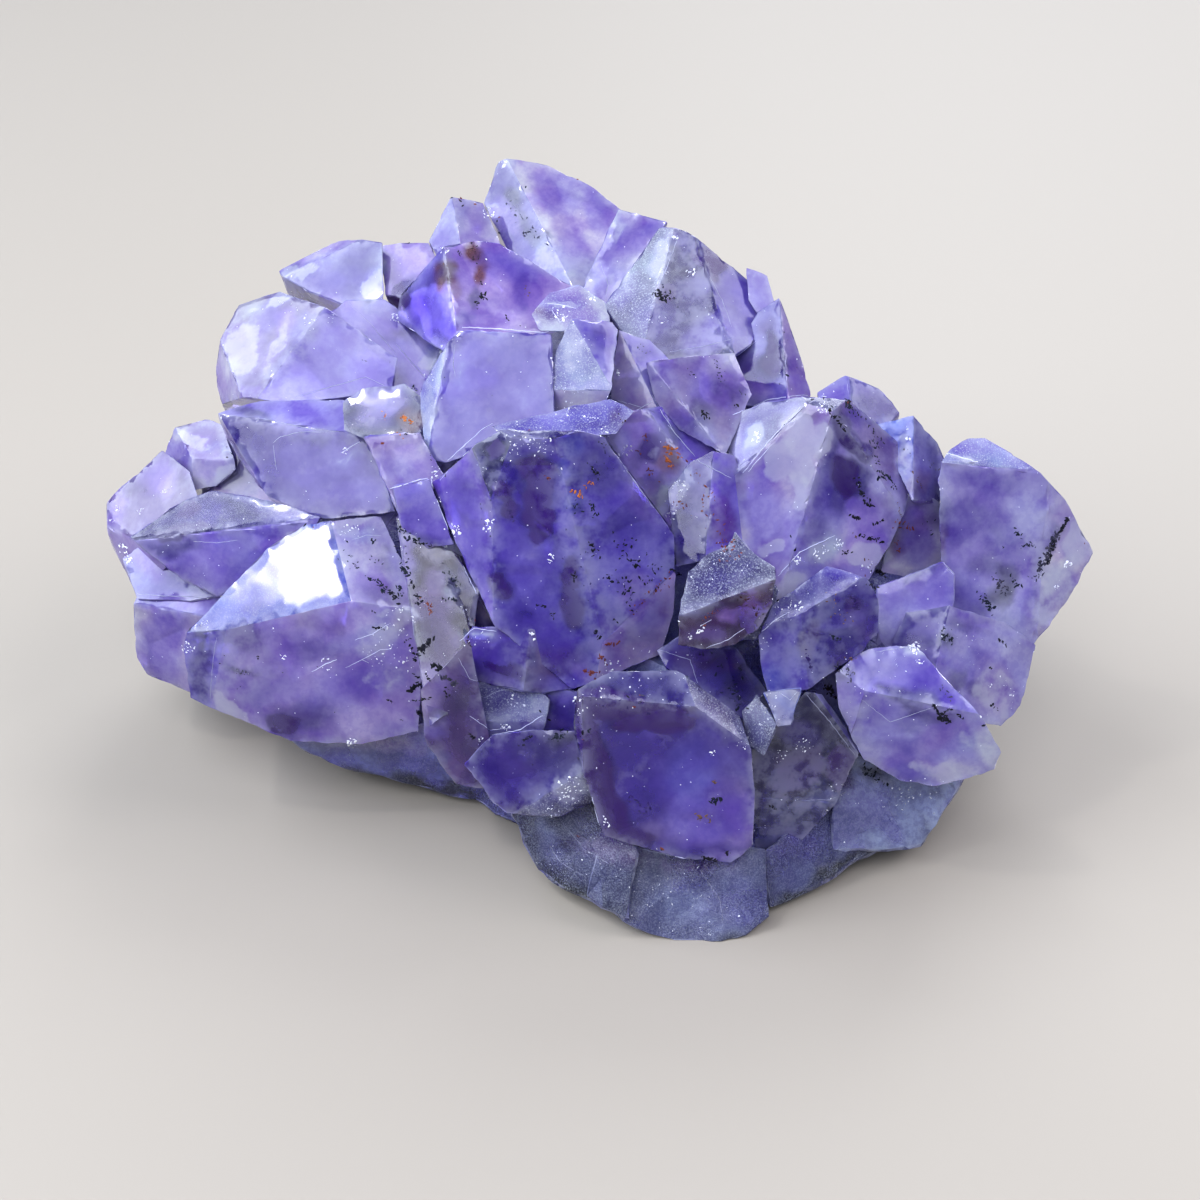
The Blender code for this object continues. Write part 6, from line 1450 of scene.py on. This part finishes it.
# paler patches, milky and partly painted sheen and reflection, with ragged borders
ragged = net.math('ADD', milk_and_sheen_mask, net.math('MULTIPLY', net.math('SUBTRACT', wisp, 0.5), 1.2))
colour = net.mix(net.ramp(ragged, 0.35, 0.75, 0.0, 0.45), colour, (0.80, 0.82, 0.97, 1))
# painted highlight: paler along the edges of each face
edge_highlight = net.math('MULTIPLY', edge_light_mask, net.ramp(wisp, 0.34, 0.58, 0.04, 0.42))
colour = net.mix(edge_highlight, colour, (0.74, 0.76, 0.97, 1))
# etched faces are grainy: frosted, with a painted bluish-white sparkle
frost_and_sparkle = net.ramp(grain, 0.50, 0.68)
colour = net.mix(net.math('MULTIPLY', net.math('MULTIPLY', etched, frost_and_sparkle), 0.55), colour, (0.82, 0.88, 1.0, 1))
# base: greyer, granular
colour = net.mix(net.math('MULTIPLY', rocky, net.ramp(grain, 0.42, 0.66, 0.0, 0.30)), colour, (0.60, 0.66, 0.84, 1))
colour = net.mix(net.math('MULTIPLY', rocky, net.ramp(streak, 0.58, 0.40, 0.0, 0.4)), colour, (0.50, 0.52, 0.66, 1), 'MULTIPLY')
net.link(colour, shader.inputs["Base Color"])
rough = net.math('ADD', net.ramp(cloud, 0.35, 0.65, 0.035, 0.11), net.math('MULTIPLY', etched, 0.13))
rough = net.math('ADD', rough, net.math('MULTIPLY', rocky, 0.22))
net.link(rough, shader.inputs["Roughness"])
shader.inputs["Transmission Weight"].default_value = 0.52
shader.inputs["IOR"].default_value = 1.544
absorb = net.node("ShaderNodeVolumeAbsorption")
absorb.inputs["Color"].default_value = (0.55, 0.45, 0.96, 1)
absorb.inputs["Density"].default_value = 22.0
net.link(absorb.outputs[0], out.inputs["Volume"])
# relief in millimetres: etching and the grain of the base
relief = net.math('ADD', net.math('MULTIPLY', etched, 0.014), net.math('MULTIPLY', rocky, 0.060))
height = net.math('MULTIPLY', grain, net.math('ADD', relief, 0.0015))
bump = net.node("ShaderNodeBump")
bump.inputs["Strength"].default_value = 1.0
bump.inputs["Distance"].default_value = 0.001
net.link(height, bump.inputs["Height"])
net.link(bump.outputs[0], shader.inputs["Normal"])
mesh.materials.append(mat)
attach(cluster, "root")
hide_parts("amethyst_cluster")

# inclusions and glints: their own small meshes
SHADE = {
    "black": [(0.003, 0.004, 0.010), (0.006, 0.006, 0.014)], "moss": [(0.004, 0.010, 0.020), (0.008, 0.014, 0.028)],
    "smoke": [(0.030, 0.030, 0.060), (0.055, 0.050, 0.085)], "brown": [(0.11, 0.055, 0.045), (0.16, 0.09, 0.07)],
    "rust": [(0.15, 0.030, 0.030), (0.20, 0.055, 0.035)], "rustblack": [(0.05, 0.012, 0.018), (0.02, 0.012, 0.018)],
    "amber": [(0.50, 0.17, 0.045), (0.38, 0.11, 0.030)], "violet": [(0.020, 0.010, 0.090), (0.030, 0.014, 0.110)],
}
dark_mat, dnt, dsh, dout = new_material("inclusion")
dnet = Net(dnt)
shade = dnet.node("ShaderNodeAttribute")
shade.attribute_name = "shade"
dcoord = dnet.node("ShaderNodeTexCoord")
dnet.vector = dcoord.outputs["Object"]
dnet.link(dnet.mix(dnet.ramp(dnet.noise(2500, 3), 0.4, 0.8, 0.0, 0.2), shade.outputs["Color"], (0.07, 0.06, 0.14, 1)), dsh.inputs["Base Color"])
dsh.inputs["Roughness"].default_value = 0.5
dsh.inputs["Specular IOR Level"].default_value = 0.2
# material of the glints, sparks and pale lines: painted highlights, and healed cracks
pale_mat, pnt, psh, pout = new_material("painted_glint_and_healed_crack")
pnet = Net(pnt)
pshade = pnet.node("ShaderNodeAttribute")
pshade.attribute_name = "shade"
pcoord = pnet.node("ShaderNodeTexCoord")
pnet.vector = pcoord.outputs["Object"]
pnet.link(pnet.mix(pnet.ramp(pnet.noise(1800, 3), 0.4, 0.7, 0.0, 0.4), pshade.outputs["Color"], (0.50, 0.50, 0.85, 1)), psh.inputs["Base Color"])
psh.inputs["Roughness"].default_value = 0.18

flakes = Heap()
for (x0, y0, x1, y1, spread, number, small, large, sort) in FLAKES:
    for i in range(number):
        t = random.random()
        x = x0 + (x1 - x0) * t + random.gauss(0, spread * 0.6)
        y = y0 + (y1 - y0) * t + random.gauss(0, spread * 0.6)
        h = hit(x, y)
        if h is None or hit(x - 5, y - 5) is None or hit(x + 5, y - 5) is None or hit(x + 5, y + 5) is None:
            continue
        mm = float((h[0] - EYE) @ FWD) / FOCAL          # millimetres per pixel there
        size = random.uniform(small, large) * mm * random.choice((0.6, 0.8, 1.0, 1.0))
        flakes.flake(h[0] - h[1] * 0.01, h[1], size * random.uniform(1.0, 1.5), size * random.uniform(0.35, 0.8),
                     0.05, random.uniform(0, math.pi), random.choice(SHADE[sort]))
glints = Heap()
for (x, y, r, number, large) in GLINTS:
    for i in range(number):
        a, q = random.uniform(0, 2 * math.pi), r * math.sqrt(random.random())
        h = hit(x + q * math.cos(a), y + q * math.sin(a))
        if h is None:
            continue
        mm = float((h[0] - EYE) @ FWD) / FOCAL
        size = large * mm * random.uniform(0.35, 1.0) * random.choice((0.5, 0.7, 1.0))
        v = random.uniform(0.75, 1.0)
        glints.flake(h[0], h[1], size, size * random.uniform(0.3, 0.8), 0.06, random.uniform(0, math.pi), (v * 0.93, v * 0.95, v))
for (half, bright, pts) in LINES:
    path, normals = [], []
    for (xa, ya), (xb, yb) in zip(pts, pts[1:]):
        steps = max(2, int(math.hypot(xb - xa, yb - ya) / 3.5))
        for i in range(steps):
            h = hit(xa + (xb - xa) * i / steps + random.uniform(-0.35, 0.35), ya + (yb - ya) * i / steps + random.uniform(-0.35, 0.35))
            if h is None:
                continue
            if path and np.linalg.norm(h[0] - path[-1]) > 1.6:
                if len(path) > 2:
                    glints.thread(path, normals, half * 0.055, (0.66 * bright, 0.68 * bright, 0.90 * bright))
                path, normals = [], []
            path.append(h[0])
            normals.append(h[1])
    if len(path) > 2:
        glints.thread(path, normals, half * 0.055, (0.66 * bright, 0.68 * bright, 0.90 * bright))
# small sparks over all the seen faces
random.seed(23)
for i in range(2600):
    h = hit(random.uniform(100, 1100), random.uniform(150, 950))
    if h is None or random.random() > (0.9 if own[h[2]] >= 0 and etch[h[2]] > 0.5 else 0.4):
        continue
    s = random.uniform(0.05, 0.13) * random.choice((1.0, 1.0, 1.5))
    v = random.uniform(0.6, 1.0)
    glints.flake(h[0], h[1], s, s * random.uniform(0.4, 0.9), 0.03, random.uniform(0, 3.1), (v * 0.90, v * 0.93, v))
# the far side has its share of them
rear = [i for i in range(0, n_face, 7) if own[i] >= 0 and (EYE - corner[i].mean(axis=0)) @ np.cross(corner[i][1] - corner[i][0], corner[i][2] - corner[i][0]) < 0]
for i in random.sample(rear, min(260, len(rear))):
    c = corner[i].mean(axis=0)
    n = np.cross(corner[i][1] - corner[i][0], corner[i][2] - corner[i][0])
    n /= np.linalg.norm(n)
    if random.random() < 0.55:
        for q in range(random.randint(1, 5)):
            s = random.uniform(0.2, 0.5)
            spot, lie, _, _ = tree.find_nearest(Vector(c + np.array([random.uniform(-0.7, 0.7) for _ in range(3)])))
            flakes.flake(spot - lie * 0.01, lie, s * 1.3, s * 0.6, 0.05, random.uniform(0, 3.1), random.choice(SHADE[random.choice(("black", "moss", "smoke", "rust"))]))
    else:
        s = random.uniform(0.12, 0.4)
        glints.flake(c, n, s, s * 0.6, 0.05, random.uniform(0, 3.1), (0.9, 0.92, 1.0))
flakes.build("inclusions", dark_mat)
glints.build("glints", pale_mat)

# --------------------------------------------------------------------------- stage
bpy.ops.mesh.primitive_plane_add(size=6.0, location=(0, 0.8, 0))
floor = bpy.context.object
floor.name = "floor"
fm, fnt, fsh, fout = new_material("floor_pale")
fsh.inputs["Base Color"].default_value = (0.36, 0.325, 0.285, 1)
fsh.inputs["Roughness"].default_value = 0.6
floor.data.materials.append(fm)

eye_m = Vector((EYE - np.array(ORIGIN)) * MM)
cam = bpy.data.cameras.new("camera")
cam_obj = bpy.data.objects.new("camera", cam)
bpy.context.scene.collection.objects.link(cam_obj)
cam.sensor_width = 36.0
cam.lens = 36.0 * FOCAL / FRAME
cam.clip_start = 0.005
cam_obj.matrix_world = Matrix.Translation(eye_m) @ Matrix((RIGHT, UP, -FWD)).transposed().to_4x4()
bpy.context.scene.camera = cam_obj


def area(name, direction, distance, size, radiance, colour=(1, 1, 1), target=(0, -0.01, 0.02)):
    light = bpy.data.lights.new(name, 'AREA')
    light.energy = radiance * math.pi * size * size
    light.color = colour
    light.size = size
    obj = bpy.data.objects.new(name, light)
    bpy.context.scene.collection.objects.link(obj)
    d = Vector(direction).normalized()
    obj.location = Vector(target) + d * distance
    obj.rotation_euler = (-d).to_track_quat('-Z', 'Y').to_euler()
    return obj


area("window", (-0.74, -0.02, 0.67), 0.9, 0.80, 4.8, (0.84, 0.91, 1.0))
# the key stands where the bright facet on the left mirrors it to the camera
bright = crystal_planes(*SEEN["L6"])[0][0][0]
spot = hit(328, 558)[0]
ray = (spot - EYE) / np.linalg.norm(spot - EYE)
mirror = ray - 2 * (ray @ bright) * bright
area("key", mirror, 0.25, 0.020, 60.0, (1.0, 0.99, 0.98), Vector((spot - np.array(ORIGIN)) * MM))
area("fill", (0.76, 0.07, 0.64), 1.2, 0.8, 3.5, (0.94, 0.93, 1.0))
area("front", (-0.11, -0.61, 0.79), 1.2, 0.8, 3.8, (0.91, 0.94, 1.0))
area("back", (0.25, 0.8, 0.6), 1.2, 0.7, 4.6, (0.91, 0.95, 1.0))
world = bpy.data.worlds.new("studio")
bpy.context.scene.world = world
world.use_nodes = True
bg = world.node_tree.nodes["Background"]
bg.inputs[0].default_value = (0.74, 0.83, 1.0, 1)
bg.inputs[1].default_value = 0.36
scene = bpy.context.scene
scene.view_settings.view_transform = 'Standard'
scene.view_settings.exposure = 0.30
scene.view_settings.gamma = 0.87
scene.cycles.max_bounces = 4
scene.cycles.transmission_bounces = 4
scene.cycles.diffuse_bounces = 2
scene.cycles.glossy_bounces = 2
scene.cycles.volume_bounces = 0
scene.cycles.caustics_reflective = False
scene.cycles.caustics_refractive = False
